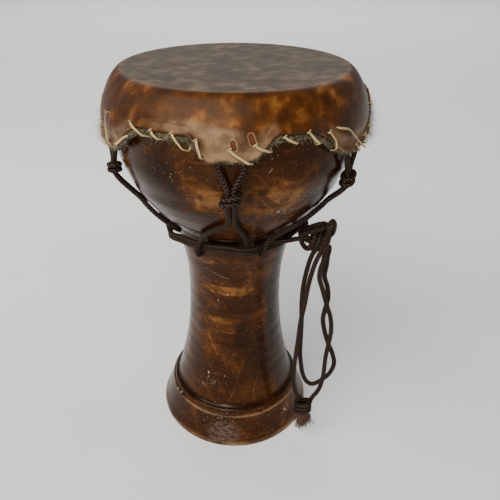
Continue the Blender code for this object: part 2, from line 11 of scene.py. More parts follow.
import bpy
import numpy as np
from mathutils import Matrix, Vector


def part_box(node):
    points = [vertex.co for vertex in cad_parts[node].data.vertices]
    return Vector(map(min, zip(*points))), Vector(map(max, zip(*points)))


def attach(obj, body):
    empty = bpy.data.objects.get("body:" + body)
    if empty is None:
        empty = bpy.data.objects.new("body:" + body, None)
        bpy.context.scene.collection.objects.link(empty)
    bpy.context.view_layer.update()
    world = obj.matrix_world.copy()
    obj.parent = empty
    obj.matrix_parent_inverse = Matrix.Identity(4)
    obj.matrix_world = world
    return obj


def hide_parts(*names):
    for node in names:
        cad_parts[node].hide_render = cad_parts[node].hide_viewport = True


bl_info = {
    "name": "Goblet drum",
    "version": (1, 0, 0),
    "blender": (4, 5, 0),
    "location": "View3D > Sidebar > Drum",
    "description": "Builds the surfaces, cords and stage of a small goblet drum",
    "category": "Add Mesh",
}

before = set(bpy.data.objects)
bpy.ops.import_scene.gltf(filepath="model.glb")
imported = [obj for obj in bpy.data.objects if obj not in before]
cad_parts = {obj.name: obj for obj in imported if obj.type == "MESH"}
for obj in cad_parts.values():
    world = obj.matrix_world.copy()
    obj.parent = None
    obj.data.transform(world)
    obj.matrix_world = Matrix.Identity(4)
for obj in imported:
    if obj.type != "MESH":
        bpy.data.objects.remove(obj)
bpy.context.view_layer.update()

MM = 0.001
TURN = 2 * math.pi

# Shell, from the foot up
HEAD_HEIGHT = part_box("drum_head")[1].z
FOOT_RADIUS = 57.6 * MM
FOOT_CHAMFER = 0.8 * MM
FOOT_HEIGHT = 22.2 * MM
RIDGE_RADIUS = 49.4 * MM
COVE_RADIUS = 45.5 * MM
COVE_HEIGHT = 25.0 * MM
STEM_RADIUS = 32.1 * MM
STEM_HEIGHT = 117.0 * MM
SEAT_RADIUS = 38.2 * MM
SEAT_BOTTOM = 157.0 * MM
SEAT_TOP = 165.5 * MM
LIP_RADIUS = 41.5 * MM
LIP_HEIGHT = 166.9 * MM
GROOVE_HEIGHT = 170.2 * MM
BOWL_RADIUS = 69.8 * MM
BOWL_HEIGHT = 214.0 * MM
RIM_HEIGHT = HEAD_HEIGHT - 11.5 * MM
BOWL_OUTLINE = ((0.155, 0.25), (0.32, 0.48), (0.541, 0.72), (0.762, 0.875), (1.0, 1.0))
BEAD_OUTLINE = (
    (0.05, 0.0), (0.5, 0.5), (1.7, 0.9), (1.9, 1.5), (1.7, 2.8), (2.6, 4.4), (4.4, 5.2),
)
BORE_RADIUS = 21.5 * MM
HORN_HEIGHT = 95.0 * MM
THROAT_TOP = 146.0 * MM
FOOT_BORE_RADIUS = 45.0 * MM
BOWL_WALL = 8.5 * MM
BEARING_WIDTH = 6.0 * MM

# Head and hem
HEAD_RADIUS = 77.4 * MM
HEAD_FLAT_RADIUS = 64.0 * MM
SHOULDER_DEPTH = 26.0 * MM
SHOULDER_POWER = 1.6
SKIN_THICKNESS = 1.2 * MM
SEAT_GAP = 0.5 * MM
HEM_HEIGHT = HEAD_HEIGHT - 20.6 * MM
HEM_RADIUS = 77.3 * MM
HEM_FLARE_SLOPE = 0.6
HEM_FLARE_RISE = 5.3 * MM
HEM_CORD_RISE = 2.6 * MM

# Section of the folded hem in millimetres: out from the hem's radius, and up from its bottom
HEM_SECTION = (
    (-1.3, 8.0), (-1.3, 6.2), (-1.5, 4.9), (-1.6, 2.5), (-2.6, 1.2), (-3.9, 0.9), (-5.0, 1.6),
    (-5.2, 3.0), (-5.2, 4.4), (-5.6, 4.8), (-6.0, 4.3), (-6.0, 2.4), (-5.2, 0.6), (-3.4, -0.3),
    (-1.4, -0.4), (-0.1, 0.4), (0.4, 1.6), (0.1, 2.7), (-0.7, 3.3), (-0.8, 3.5), (0.2, 3.4),
    (0.85, 3.8), (0.9, 4.5), (0.4, 5.5), (-0.5, 6.5), (-1.0, 7.0),
)
RAW_SECTION = (5, 20)

# Cords
CORD_DIAMETER = 3.3 * MM
CORD_RADIUS = CORD_DIAMETER / 2
CORD_PITCH = CORD_DIAMETER + 0.3 * MM
CHANNEL_RADIUS = HEM_RADIUS - SKIN_THICKNESS - SEAT_GAP - CORD_RADIUS
WAIST_LOW_HEIGHT = 161.4 * MM
WAIST_LOW_RADIUS = 44.3 * MM
WAIST_HIGH_HEIGHT = 164.8 * MM
WAIST_HIGH_RADIUS = 45.1 * MM
WAIST_BULGE = 3.0 * MM
WAIST_BULGE_SPREAD = 14.0
WAIST_POINTS = 70
WAIST_START = 12.0
WAIST_STEP_UP = 342.0
WAIST_STEP_WIDTH = 14.0
WAIST_END = 700.0
LEG_END_RISE = 3.4 * MM
COLLAR_HEIGHT = 7.4 * MM
COLLAR_REACH = 4.45 * MM

# Braid: columns of strands round the cord, each column leaning against the next
BRAID_COLUMNS = 6
BRAID_PERIOD = 2.1 * MM
BRAID_LEAN = 0.55
BRAID_DEPTH = 0.28

# Fineness of the mesh: columns round the drum, and steps along each path
SHELL_COLUMNS = 236
HEAD_COLUMNS = 480
HEM_STEP = 0.48
LACE_STEP = 0.45 * MM
CORD_STEP = 0.3 * MM
TENSION_STEP = 0.36 * MM
HANGING_STEP = 0.28 * MM

# Stations in degrees round from the front, to the right, with the hem's drop there (mm), half
# the width of the dropped tongue and of its whole scallop, the collar's depth below the
# bowl's widest place and the fork's height above the lip (mm), and how far left and right
# of the station the cord's legs meet the waist cord
STATIONS = (
    dict(turn=-1.5, drop=9.6, tongue=6.5, scallop=17.0, collar=3.5, fork=25.6, left=26, right=11),
    dict(turn=59.0, drop=15.0, tongue=9.0, scallop=33.0, collar=8.0, fork=24.1, left=38, right=12),
    dict(turn=117.0, drop=12.0, tongue=7.0, scallop=20.0, collar=5.0, fork=23.1, left=25, right=11),
    dict(turn=175.5, drop=13.5, tongue=8.0, scallop=22.0, collar=6.0, fork=24.6, left=24, right=12),
    dict(turn=234.0, drop=11.0, tongue=7.0, scallop=19.0, collar=4.0, fork=22.6, left=26, right=11),
    dict(turn=292.5, drop=15.5, tongue=10.0, scallop=31.0, collar=5.0, fork=23.1, left=25, right=12),
)
STITCHES = (6, 6, 6, 6, 6, 7)

# Stitches that show from the front: degrees and millimetres from the hole to the low end
FRONT_STITCHES = (
    ((-57.6, 243.8), (-58.6, 235.0), (-58.6, 226.3)),
    ((-51.7, 228.9), (-47.0, 233.4), (-43.1, 236.9)),
    ((-40.0, 244.1), (-33.1, 239.3)),
    ((-30.2, 242.4), (-26.9, 239.3)),
    ((-21.8, 242.6), (-17.4, 235.6)),
    ((-13.1, 240.4), (-11.4, 232.2)),
    ((-1.6, 236.6), (5.6, 230.0)),
    ((7.1, 238.6), (12.5, 235.6)),
    ((17.3, 241.6), (22.1, 238.3)),
    ((26.4, 242.4), (31.4, 235.8)),
    ((35.8, 240.2), (38.6, 236.4), (39.7, 230.4)),
)
LACE_END = ((41.3, 241.4), (45.5, 239.6), (50.0, 234.6), (56.0, 228.4), (62.3, 223.5))
LACE_END_LIFT = (0.0, 0.6, 1.0, 1.2, 1.6)
FRONT_LIMITS = (-60.0, 43.0)
LACE_WIDTH = 1.2 * MM
LACE_THICKNESS = 0.55 * MM

# Knots, and routes of the hanging cords in metres
TIE_CENTRE = (0.0485, -0.0340, 0.1660)
TASSEL_CENTRE = (0.0500, -0.0460, 0.0285)
TIE_TURN = 55.0
BOW_LOOP = (
    (0.0508, -0.0352, 0.1600), (0.0490, -0.0354, 0.1567),
    (0.0473, -0.0357, 0.1532), (0.0456, -0.0361, 0.1461), (0.0437, -0.0370, 0.1322),
    (0.0434, -0.0380, 0.1168), (0.0443, -0.0388, 0.1032), (0.0446, -0.0396, 0.0881),
    (0.0449, -0.0402, 0.0768), (0.0461, -0.0407, 0.0678), (0.0478, -0.0411, 0.0586),
    (0.0508, -0.0415, 0.0515), (0.0553, -0.0416, 0.0483), (0.0608, -0.0415, 0.0515),
    (0.0666, -0.0412, 0.0581), (0.0692, -0.0407, 0.0669), (0.0674, -0.0403, 0.0759),
    (0.0635, -0.0397, 0.0855), (0.0602, -0.0392, 0.0957), (0.0583, -0.0386, 0.1056),
    (0.0591, -0.0381, 0.1144), (0.0602, -0.0376, 0.1223), (0.0591, -0.0371, 0.1306),
    (0.0565, -0.0366, 0.1388), (0.0571, -0.0361, 0.1468), (0.0572, -0.0358, 0.1532),
    (0.0578, -0.0356, 0.1570), (0.0574, -0.0354, 0.1605),
)
LEFT_TAIL = (
    (0.0532, -0.0385, 0.1608), (0.0517, -0.0392, 0.1573),
    (0.0500, -0.0400, 0.1536), (0.0483, -0.0404, 0.1475), (0.0461, -0.0412, 0.1352),
    (0.0446, -0.0422, 0.1201), (0.0429, -0.0430, 0.1067), (0.0422, -0.0438, 0.0919),
    (0.0415, -0.0444, 0.0807), (0.0409, -0.0451, 0.0674), (0.0413, -0.0458, 0.0535),
    (0.0441, -0.0463, 0.0430), (0.0460, -0.0466, 0.0380),
)
RIGHT_TAIL = (
    (0.0548, -0.0385, 0.1612), (0.0545, -0.0393, 0.1580),
    (0.0542, -0.0399, 0.1546), (0.0539, -0.0402, 0.1512), (0.0527, -0.0405, 0.1468),
    (0.0526, -0.0409, 0.1403), (0.0548, -0.0414, 0.1330), (0.0574, -0.0419, 0.1247),
    (0.0596, -0.0423, 0.1178), (0.0622, -0.0428, 0.1099), (0.0635, -0.0434, 0.0994),
    (0.0628, -0.0440, 0.0885), (0.0618, -0.0446, 0.0772), (0.0617, -0.0453, 0.0638),
    (0.0609, -0.0458, 0.0535), (0.0588, -0.0462, 0.0459), (0.0557, -0.0464, 0.0406),
)
TASSEL_RADIUS = 4.2 * MM

# Routes inside the knots, in millimetres from each knot's centre
TIE_BIGHT = (
    (7.4, -4.9, 1.6), (7.0, -4.7, 6.0), (7.3, -3.9, 9.8), (8.9, -2.7, 12.0), (10.6, -1.5, 9.8),
    (10.9, -0.7, 5.8), (10.2, 0.3, 1.8), (8.0, 0.9, -0.8), (4.0, 0.6, -2.4), (0.0, 0.3, -3.2),
    (-4.4, 0.3, -2.6), (-7.0, 0.5, 0.2), (-8.3, -0.8, 2.6), (-8.8, -2.2, 0.2), (-7.6, -2.6, -3.4),
    (-5.3, -1.7, -7.0),
)
TIE_RING = (
    (-9.0, -0.5, 2.6), (-5.5, -3.6, 5.0), (-0.5, -4.8, 7.2), (4.0, -4.4, 8.8), (6.2, -1.5, 9.0),
    (4.0, 1.8, 8.0), (-1.5, 2.6, 5.8), (-6.8, 2.2, 3.4),
)
TIE_HEART = (0.8, 0.0, -2.6)
TIE_TILT_CENTRE = (2.0, 0.0, -3.0)
TIE_TILT = 16.0
TASSEL_ENTER = ((-4.0, -0.6, 12.0), (-3.4, 0.6, 9.8))
TASSEL_LEAVE = ((1.5, 3.2, -1.0), (3.2, 2.4, 3.4), (4.6, 0.4, 7.6), (5.4, -0.4, 11.4))

# Loops of a collar in millimetres: level, rise towards the right, and shift to the right
COLLAR_LOOPS = ((-1.7, 0.9, -0.5), (1.6, 1.1, 0.5))
COLLAR_POWER = 2.6

# Hair on the hem: share of it in the two tufts, share of that in the right one, and the
# degrees and the spread of each tuft
TUFT_SHARE = 0.28
RIGHT_TUFT_SHARE = 0.7
RIGHT_TUFT = (79, 6)
LEFT_TUFT = (-84, 5)

# Spots on the wood: degrees, millimetres up, half width in degrees, half height in
# millimetres, and how much lighter or darker
WOOD_SPOTS = (
    (-34.0, 212.0, 10.0, 20.0, -0.34), (-11.5, 192.0, 5.0, 6.0, -0.18),
    (-13.0, 206.0, 8.0, 10.0, 0.22), (-16.6, 205.0, 1.0, 4.5, 0.3), (14.0, 206.0, 20.0, 12.0, 0.17),
    (45.0, 205.0, 14.0, 22.0, -0.18), (52.0, 104.0, 7.0, 36.0, -0.4),
    (-12.0, 123.0, 34.0, 4.0, 0.26), (-14.0, 98.0, 26.0, 3.0, 0.16), (-34.0, 147.0, 14.0, 2.5, 0.24),
    (-9.0, 12.0, 15.0, 6.0, -0.12), (-25.9, 220.5, 1.2, 1.4, -0.3), (-21.6, 231.0, 1.6, 1.6, -0.3),
    (-14.3, 228.5, 1.4, 1.5, -0.25), (-44.0, 27.5, 8.0, 2.0, -0.2), (30.0, 62.0, 14.0, 14.0, -0.12),
    (-28.0, 76.0, 12.0, 14.0, 0.1), (8.0, 84.0, 10.0, 12.0, -0.14), (150.0, 200.0, 18.0, 18.0, -0.2),
    (200.0, 120.0, 20.0, 16.0, 0.18), (250.0, 205.0, 14.0, 12.0, 0.2), (110.0, 80.0, 16.0, 24.0, -0.2),
)

# Patches of pale flecks: degrees, millimetres up, half width in degrees, half height in millimetres
FLECKS = (
    (24.0, 196.5, 8.0, 4.0), (34.0, 205.0, 5.0, 3.0), (-10.0, 20.0, 14.0, 4.0),
    (-24.0, 46.0, 7.0, 5.0), (48.0, 14.0, 8.0, 4.0), (160.0, 60.0, 10.0, 8.0),
)

# Painted sheen: a patch of the foot's front painted gray as a highlight, in the same order
PAINTED_SHEEN = (-9.0, 9.0, 14.0, 9.5)

# Rings round the wood: height, width, and strength of the pale ring or of the dark one
# Pale rings: partly wear and partly a painted highlight on the ridge and the lip, and a pale ring on the
# foot's bottom edge
WORN_AND_HIGHLIGHT_RINGS = (
    (FOOT_HEIGHT, 0.55 * MM, 0.8), (1.2 * MM, 1.5 * MM, 0.8), (LIP_HEIGHT, 0.9 * MM, 0.8),
)
# Dark rings: painted shade in the groove, under the lip and in the cove
SHADED_RINGS = (
    (GROOVE_HEIGHT, 0.75 * MM, 0.8), (LIP_HEIGHT - 1.2 * MM, 1.3 * MM, 0.5),
    (COVE_HEIGHT + 2.2 * MM, 0.7 * MM, 0.35),
)

# Chips and scratches on the wood, and one painted glint along the lip: degrees and millimetres at both ends,
# and width in millimetres
WOOD_MARKS = (
    (-29.9, 51.9, -29.4, 51.2, 0.9), (-11.2, 52.0, -10.8, 51.7, 0.7), (47.0, 14.8, 47.6, 13.8, 1.0),
    (-36.0, 41.5, -31.5, 39.7, 0.35), (-8.6, 121.2, -8.5, 120.7, 0.6), (-20.5, 114.9, -20.4, 114.6, 0.5),
    (-33.6, 140.5, -24.0, 138.0, 0.22), (-24.0, 138.0, -15.3, 136.0, 0.22), (-15.3, 136.0, -7.0, 134.2, 0.2),
    (21.0, 196.8, 22.0, 195.6, 0.4), (25.5, 198.8, 26.6, 199.4, 0.3), (20.6, 206.9, 20.8, 205.6, 0.3),
    (11.7, 218.0, 13.6, 221.2, 0.2), (13.6, 221.2, 15.3, 224.0, 0.2), (-64.0, 22.6, -63.8, 22.4, 0.8),
    # The last mark, along the lip's front, is a painted glint
    (-58.0, 22.9, -57.7, 22.7, 0.7), (-12.0, 167.6, -3.0, 167.4, 0.5),
)

# Slits that the lace has torn in the front tongue: degrees and millimetres at both ends
HEAD_SLITS = ((-0.7, 240.0, -0.2, 237.4), (5.6, 243.0, 6.3, 240.0))

# Patches on the head: degrees, millimetres up, half width in degrees, half height in
# millimetres, the core and the fade as shares of both, and the strength
# Pale patches: partly a painted highlight on the front tongue
PALE_AND_SHEEN_PATCHES = ((-5, 242.5, 9, 4.2, 0.5, 0.7, 1.0), (-19, 246.5, 12, 3.0, 0.4, 0.8, 0.6))
# Dark patches: specks at the upper left, and painted shade on the right side
DARK_AND_SHADED_PATCHES = ((-50, 252, 26, 7, 0.4, 0.8, 1.0), (62, 244, 24, 12, 0.4, 0.8, 0.8))

# Places where the skin is gathered in fine folds: degrees, and width in degrees
GATHERS = ((-78, 26), (150, 40))

# Camera fitted to the photo: lens and sensor in millimetres, and tilt in degrees
CAMERA_LENS = 36.0
CAMERA_SENSOR = 36.0
CAMERA_SHIFT = 0.0303
CAMERA_PLACE = (0.0, -0.2957, 0.3189)
CAMERA_TILT = 58.18

# Lights: name, place, target, size, power in watts and colour
LIGHTS = (
    ("window", (-0.6, -0.8, 1.05), (0.0, 0.0, 0.12), (1.5, 1.3), 34.0, (1.0, 0.985, 0.96)),
    ("back", (0.0, 2.5, 2.2), (0.0, 2.8, 0.0), (4.0, 2.0), 70.0, (1.0, 1.0, 1.0)),
    ("glint", (-0.3, -1.15, 0.62), (0.0, 0.0, 0.12), (0.22, 0.5), 5.0, (1.0, 0.99, 0.97)),
    ("fill", (0.9, -0.9, 0.9), (0.0, 0.0, 0.12), (1.2, 1.2), 0.8, (0.95, 0.97, 1.0)),
)
ROOM_LIGHT = 0.3
FLOOR_REACH = 6.0


def cylindrical(turn, radius, height):
    """Points at an azimuth in degrees, 0 at the front and growing to the right."""
    angle = np.radians(turn)
    return np.stack(np.broadcast_arrays(radius * np.sin(angle), -radius * np.cos(angle), height), axis=-1)


def smooth_step(share):
    """Ease from 0 to 1: three times the square less twice the cube of the clamped share."""
    share = np.clip(share, 0.0, 1.0)
    return share * share * (3 - 2 * share)


def ripple(turn, along, seed, around=(2, 12), lengthwise=(20.0, 120.0), waves=8):
    """Smooth noise of about unit size: a sum of sine waves, whole numbers of them round the axis."""
    draw = np.random.default_rng(seed)
    total = 0.0
    for _ in range(waves):
        wave = draw.integers(*around) * np.radians(turn) + draw.uniform(*lengthwise) * along
        total = total + np.sin(wave + draw.uniform(0, TURN))
    return total / math.sqrt(waves / 2)


def smooth_curve(points, step, closed=False):
    """Evenly spaced points on a Catmull-Rom curve through the route's points.

    Each span is the cubic whose slope at either end is half the step between the
    neighbours of that end."""
    route = np.asarray(points, float)
    if closed:
        padded = np.vstack([route[-1:], route, route[:2]])
    else:
        padded = np.vstack([2 * route[:1] - route[1:2], route, 2 * route[-1:] - route[-2:-1]])
    share = np.linspace(0, 1, 24, endpoint=False)[None, :, None]
    before, first, second, after = (padded[k:len(padded) - 3 + k, None, :] for k in range(4))
    dense = 0.5 * (2 * first + (second - before) * share
                   + (2 * before - 5 * first + 4 * second - after) * share ** 2
                   + (3 * first - before - 3 * second + after) * share ** 3)
    dense = np.vstack([dense.reshape(-1, route.shape[1]), route[:1] if closed else route[-1:]])
    lengths = np.concatenate([[0], np.cumsum(np.linalg.norm(np.diff(dense, axis=0), axis=1))])
    marks = np.linspace(0, lengths[-1], max(3, round(lengths[-1] / step) + 1))
    even = np.stack([np.interp(marks, lengths, column) for column in dense.T], axis=1)
    return even[:-1] if closed else even


def unit(vectors):
    """Vectors of the same direction and length one."""
    return vectors / np.linalg.norm(vectors, axis=-1, keepdims=True)


def distances(path):
    """Distance along a path at each of its points."""
    steps = np.linalg.norm(np.diff(path, axis=-2), axis=-1)
    return np.concatenate([np.zeros(steps.shape[:-1] + (1,)), np.cumsum(steps, axis=-1)], axis=-1)


def sweep(path, facing, out, side, closed=False):
    """Section carried along a path: at each point, out times the facing direction's part
    across the path, plus side times the direction square to both."""
    if closed:
        ahead = np.roll(path, -1, axis=-2) - np.roll(path, 1, axis=-2)
    else:
        ahead = np.gradient(path, axis=-2)
    tangent = unit(ahead)
    normal = unit(facing - np.sum(facing * tangent, axis=-1, keepdims=True) * tangent)
    across = np.cross(tangent, normal)
    return path[..., None, :] + out[..., None] * normal[..., None, :] + side[..., None] * across[..., None, :]


def circle(count):
    """Angles evenly spaced round a circle, starting where a section faces out."""
    return TURN * np.arange(count) / count


class Surface:
    """Points, faces and values of one piece, gathered from grids that close round their columns."""

    def __init__(self, names=()):
        """Start empty, with the names of the values that each point keeps."""
        self.names = names
        self.points, self.quads, self.triangles = [], [], []
        self.quad_places, self.triangle_places = [], []
        self.values = {name: [] for name in names}
        self.count = 0

    def add(self, grid, closed=False, along=None, values=None):
        """Add grids of points (..., rows, columns, 3), whose open ends close in a pole."""
        rows, columns = grid.shape[-3:-1]
        grid = grid.reshape(-1, rows, columns, 3)
        many = len(grid)
        row = np.arange(rows if closed else rows - 1)[:, None]
        column = np.arange(columns)[None, :]
        after_row, after_column = (row + 1) % rows, (column + 1) % columns
        corners = (row * columns + column, row * columns + after_column,
                   after_row * columns + after_column, after_row * columns + column)
        one = np.stack([np.broadcast_to(corner, (len(row), columns)) for corner in corners], axis=-1)
        offset = self.count + np.arange(many) * rows * columns
        self.quads.append((one.reshape(1, -1, 4) + offset[:, None, None]).reshape(-1, 4))
        along = np.zeros(rows) if along is None else np.asarray(along, float)
        far = np.append(along, 2 * along[-1] - along[-2])
        place = [np.broadcast_to(np.stack(np.broadcast_arrays(far[row + down], (column + right) / columns),
                                          axis=-1), (len(row), columns, 2))
                 for down, right in ((0, 0), (0, 1), (1, 1), (1, 0))]
        place = np.stack(place, axis=-2).reshape(1, -1, 2)
        self.quad_places.append(np.broadcast_to(place, (many,) + place.shape[1:]).reshape(-1, 2))
        self.points.append(grid.reshape(-1, 3))
        given = {name: np.broadcast_to(value, grid.shape[:3]) for name, value in (values or {}).items()}
        for name in self.names:
            self.values[name].append(given[name].reshape(-1))
        self.count += many * rows * columns
        if not closed:
            for end, turned in ((0, True), (rows - 1, False)):
                self.points.append(grid[:, end].mean(axis=1))
                for name in self.names:
                    self.values[name].append(given[name][:, end].mean(axis=1))
                pole = (self.count + np.arange(many))[:, None]
                here = offset[:, None] + end * columns + np.arange(columns)[None, :]
                after = offset[:, None] + end * columns + (np.arange(columns)[None, :] + 1) % columns
                pole = np.broadcast_to(pole, here.shape)
                fan = (pole, after, here) if turned else (here, after, pole)
                self.triangles.append(np.stack(fan, axis=-1).reshape(-1, 3))
                here_place = np.arange(columns) / columns
                parts = (here_place + 0.5 / columns, here_place + 1 / columns, here_place)
                parts = parts if turned else (parts[2], parts[1], parts[0])
                fan_place = np.stack([np.stack([np.full(columns, along[end]), part], axis=-1)
                                      for part in parts], axis=-2).reshape(1, -1, 2)
                self.triangle_places.append(
                    np.broadcast_to(fan_place, (many,) + fan_place.shape[1:]).reshape(-1, 2))
                self.count += many

    def make(self, name, material):
        """Write the gathered grids to one mesh object at the origin."""
        points = np.concatenate(self.points)
        quads = np.concatenate(self.quads)
        triangles = np.concatenate(self.triangles) if self.triangles else np.zeros((0, 3), int)
        corners = np.concatenate([quads.ravel(), triangles.ravel()])
        starts = np.concatenate([4 * np.arange(len(quads)),
                                 4 * len(quads) + 3 * np.arange(len(triangles))])
        mesh = bpy.data.meshes.new(name)
        mesh.vertices.add(len(points))
        mesh.vertices.foreach_set("co", points.astype(np.float32).ravel())
        mesh.loops.add(len(corners))
        mesh.loops.foreach_set("vertex_index", corners.astype(np.int32))
        mesh.polygons.add(len(starts))
        mesh.polygons.foreach_set("loop_start", starts.astype(np.int32))
        mesh.update(calc_edges=True)
        layer = mesh.uv_layers.new(name="Run")
        places = np.concatenate(self.quad_places + self.triangle_places)
        layer.uv.foreach_set("vector", places.astype(np.float32).ravel())
        for key in self.names:
            attribute = mesh.attributes.new(key, "FLOAT", "POINT")
            attribute.data.foreach_set("value", np.concatenate(self.values[key]).astype(np.float32))
        mesh.shade_smooth()
        mesh.materials.append(material)
        piece = bpy.data.objects.new(name, mesh)
        bpy.context.scene.collection.objects.link(piece)
        return piece


class Finish:
    """A material's node graph, with short calls for the nodes that it uses."""

    def __init__(self, name):
        """A new material of that name, with its shader at hand."""
        self.material = bpy.data.materials.new(name)
        self.material.use_nodes = True
        self.tree = self.material.node_tree
        self.shader = self.tree.nodes["Principled BSDF"]

    def node(self, kind, inputs=(), **settings):
        """One new node of a kind, with its inputs and settings."""
        node = self.tree.nodes.new("ShaderNode" + kind)
        for key, value in settings.items():
            setattr(node, key, value)
        for key, value in dict(inputs).items():
            self.set(node.inputs[key], value)
        return node

    def set(self, socket, value):
        """Link a socket to another one, or give it a colour or a plain value."""
        if isinstance(value, bpy.types.NodeSocket):
            self.tree.links.new(value, socket)
        elif hasattr(value, "__len__") and len(value) == 3 and socket.type == "RGBA":
            socket.default_value = (*value, 1.0)
        else:
            socket.default_value = value

    def place(self, scale=(1.0, 1.0, 1.0)):
        """Object coordinates, stretched by a scale."""
        coordinates = self.node("TexCoord").outputs["Object"]
        return self.node("Mapping", {"Vector": coordinates, "Scale": scale}).outputs["Vector"]

    def run(self, scale=(1.0, 1.0, 1.0)):
        """The piece's own map: along the run, and round it."""
        coordinates = self.node("UVMap", uv_map="Run").outputs["UV"]
        return self.node("Mapping", {"Vector": coordinates, "Scale": scale}).outputs["Vector"]

    def value(self, name):
        """A value that the mesh carries at each point."""
        return self.node("Attribute", attribute_name=name).outputs["Fac"]

    def noise(self, place, scale, detail=3.0, roughness=0.5):
        """Smooth noise from 0 to 1 at a place."""
        return self.node("TexNoise", {"Vector": place, "Scale": scale, "Detail": detail,
                                      "Roughness": roughness}).outputs["Fac"]

    def range(self, value, low, high, to_low=0.0, to_high=1.0):
        """A value between low and high, eased to lie between two other values."""
        return self.node("MapRange", {"Value": value, "From Min": low, "From Max": high,
                                      "To Min": to_low, "To Max": to_high},
                         interpolation_type="SMOOTHSTEP").outputs["Result"]

    def math(self, operation, first, second=0.0, third=0.0):
        """Result of one operation on up to three values."""
        return self.node("Math", {0: first, 1: second, 2: third}, operation=operation).outputs[0]

    def ramp(self, value, stops):
        """Colour by value, through stops of (value, colour)."""
        node = self.node("ValToRGB", {"Fac": value})
        elements = node.color_ramp.elements
        while len(elements) < len(stops):
            elements.new(0.5)
        for element, (position, colour) in zip(elements, stops):
            element.position = position
            element.color = (*colour, 1.0)
        return node.outputs["Color"]

    def blend(self, share, first, second):
        """Colour that goes from the first to the second with the share."""
        node = self.node("Mix", data_type="RGBA", blend_type="MIX")
        self.set(node.inputs[0], share)
        self.set(node.inputs[6], first)
        self.set(node.inputs[7], second)
        return node.outputs[2]

    def bump(self, height, distance, strength=1.0, under=None):
        """Normal bent by a height, on top of another bent normal if there is one."""
        inputs = {"Height": height, "Distance": distance, "Strength": strength}
        if under is not None:
            inputs["Normal"] = under
        return self.node("Bump", inputs).outputs["Normal"]

    def finish(self, **sockets):
        """Set the shader's sockets, named with underscores for spaces."""
        for key, value in sockets.items():
            self.set(self.shader.inputs[key.replace("_", " ")], value)
        return self.material


def mark_group():
    """Node group: 1 within a width of the straight line from a start, falling to 0 outside it.

    The nearest point of the line is the start plus the reach times the clamped share of
    the way along it."""
    tree = bpy.data.node_groups.get("surface mark")
    if tree:
        return tree
    tree = bpy.data.node_groups.new("surface mark", "ShaderNodeTree")
    for name in ("Place", "Start", "Reach", "Per Length"):
        tree.interface.new_socket(name, in_out="INPUT", socket_type="NodeSocketVector")
    tree.interface.new_socket("Width", in_out="INPUT", socket_type="NodeSocketFloat")
    tree.interface.new_socket("Mask", in_out="OUTPUT", socket_type="NodeSocketFloat")
    given = tree.nodes.new("NodeGroupInput").outputs
    result = tree.nodes.new("NodeGroupOutput").inputs

    def vector(operation, first, second, scale=None):
        """One vector node with its inputs linked."""
        node = tree.nodes.new("ShaderNodeVectorMath")
        node.operation = operation
        tree.links.new(first, node.inputs[0])
        if second is not None:
            tree.links.new(second, node.inputs[1])
        if scale is not None:
            tree.links.new(scale, node.inputs["Scale"])
        return node

    away = vector("SUBTRACT", given["Place"], given["Start"]).outputs["Vector"]
    share = tree.nodes.new("ShaderNodeClamp")
    tree.links.new(vector("DOT_PRODUCT", away, given["Per Length"]).outputs["Value"], share.inputs["Value"])
    nearest = vector("SCALE", given["Reach"], None, share.outputs["Result"]).outputs["Vector"]
    off = vector("SUBTRACT", away, nearest).outputs["Vector"]
    length = vector("LENGTH", off, None).outputs["Value"]
    fade = tree.nodes.new("ShaderNodeMath")
    fade.operation = "DIVIDE"
    tree.links.new(length, fade.inputs[0])
    tree.links.new(given["Width"], fade.inputs[1])
    mask = tree.nodes.new("ShaderNodeMapRange")
    mask.interpolation_type = "SMOOTHSTEP"
    mask.inputs["From Min"].default_value = 1.0
    mask.inputs["From Max"].default_value = 0.35
    tree.links.new(fade.outputs[0], mask.inputs["Value"])
    tree.links.new(mask.outputs["Result"], result["Mask"])
    return tree


def surface_marks(finish, marks, radius_at, bend=0.9):
    """Greatest mask of a list of chips and scratches, each bent a little by noise."""
    shaken = finish.node("TexNoise", {"Vector": finish.place(), "Scale": 900.0, "Detail": 2.0})
    shift = finish.node("VectorMath", {0: shaken.outputs["Color"], 1: (-0.5, -0.5, -0.5)}, operation="ADD")
    shift = finish.node("VectorMath", {0: shift.outputs["Vector"], "Scale": bend * MM}, operation="SCALE")
    place = finish.node("VectorMath", {0: finish.place(), 1: shift.outputs["Vector"]}, operation="ADD")
    place = place.outputs["Vector"]
    found = None
    for turn, height, last_turn, last_height, width in marks:
        start = cylindrical(turn, radius_at(height * MM), height * MM)
        reach = cylindrical(last_turn, radius_at(last_height * MM), last_height * MM) - start
        node = finish.node("Group", {}, node_tree=mark_group())
        for key, value in (("Place", place), ("Start", tuple(start)), ("Reach", tuple(reach)),
                           ("Per Length", tuple(reach / (reach @ reach))), ("Width", width * MM)):
            finish.set(node.inputs[key], value)
        mask = node.outputs["Mask"]
        found = mask if found is None else finish.math("MAXIMUM", found, mask)
    return found


def bowl_marks():
    """Outline marks of the bowl's outer side, as shares of its height and of its radius."""
    return [(LIP_RADIUS + (BOWL_RADIUS - LIP_RADIUS) * out, LIP_HEIGHT + (BOWL_HEIGHT - LIP_HEIGHT) * up)
            for up, out in BOWL_OUTLINE]


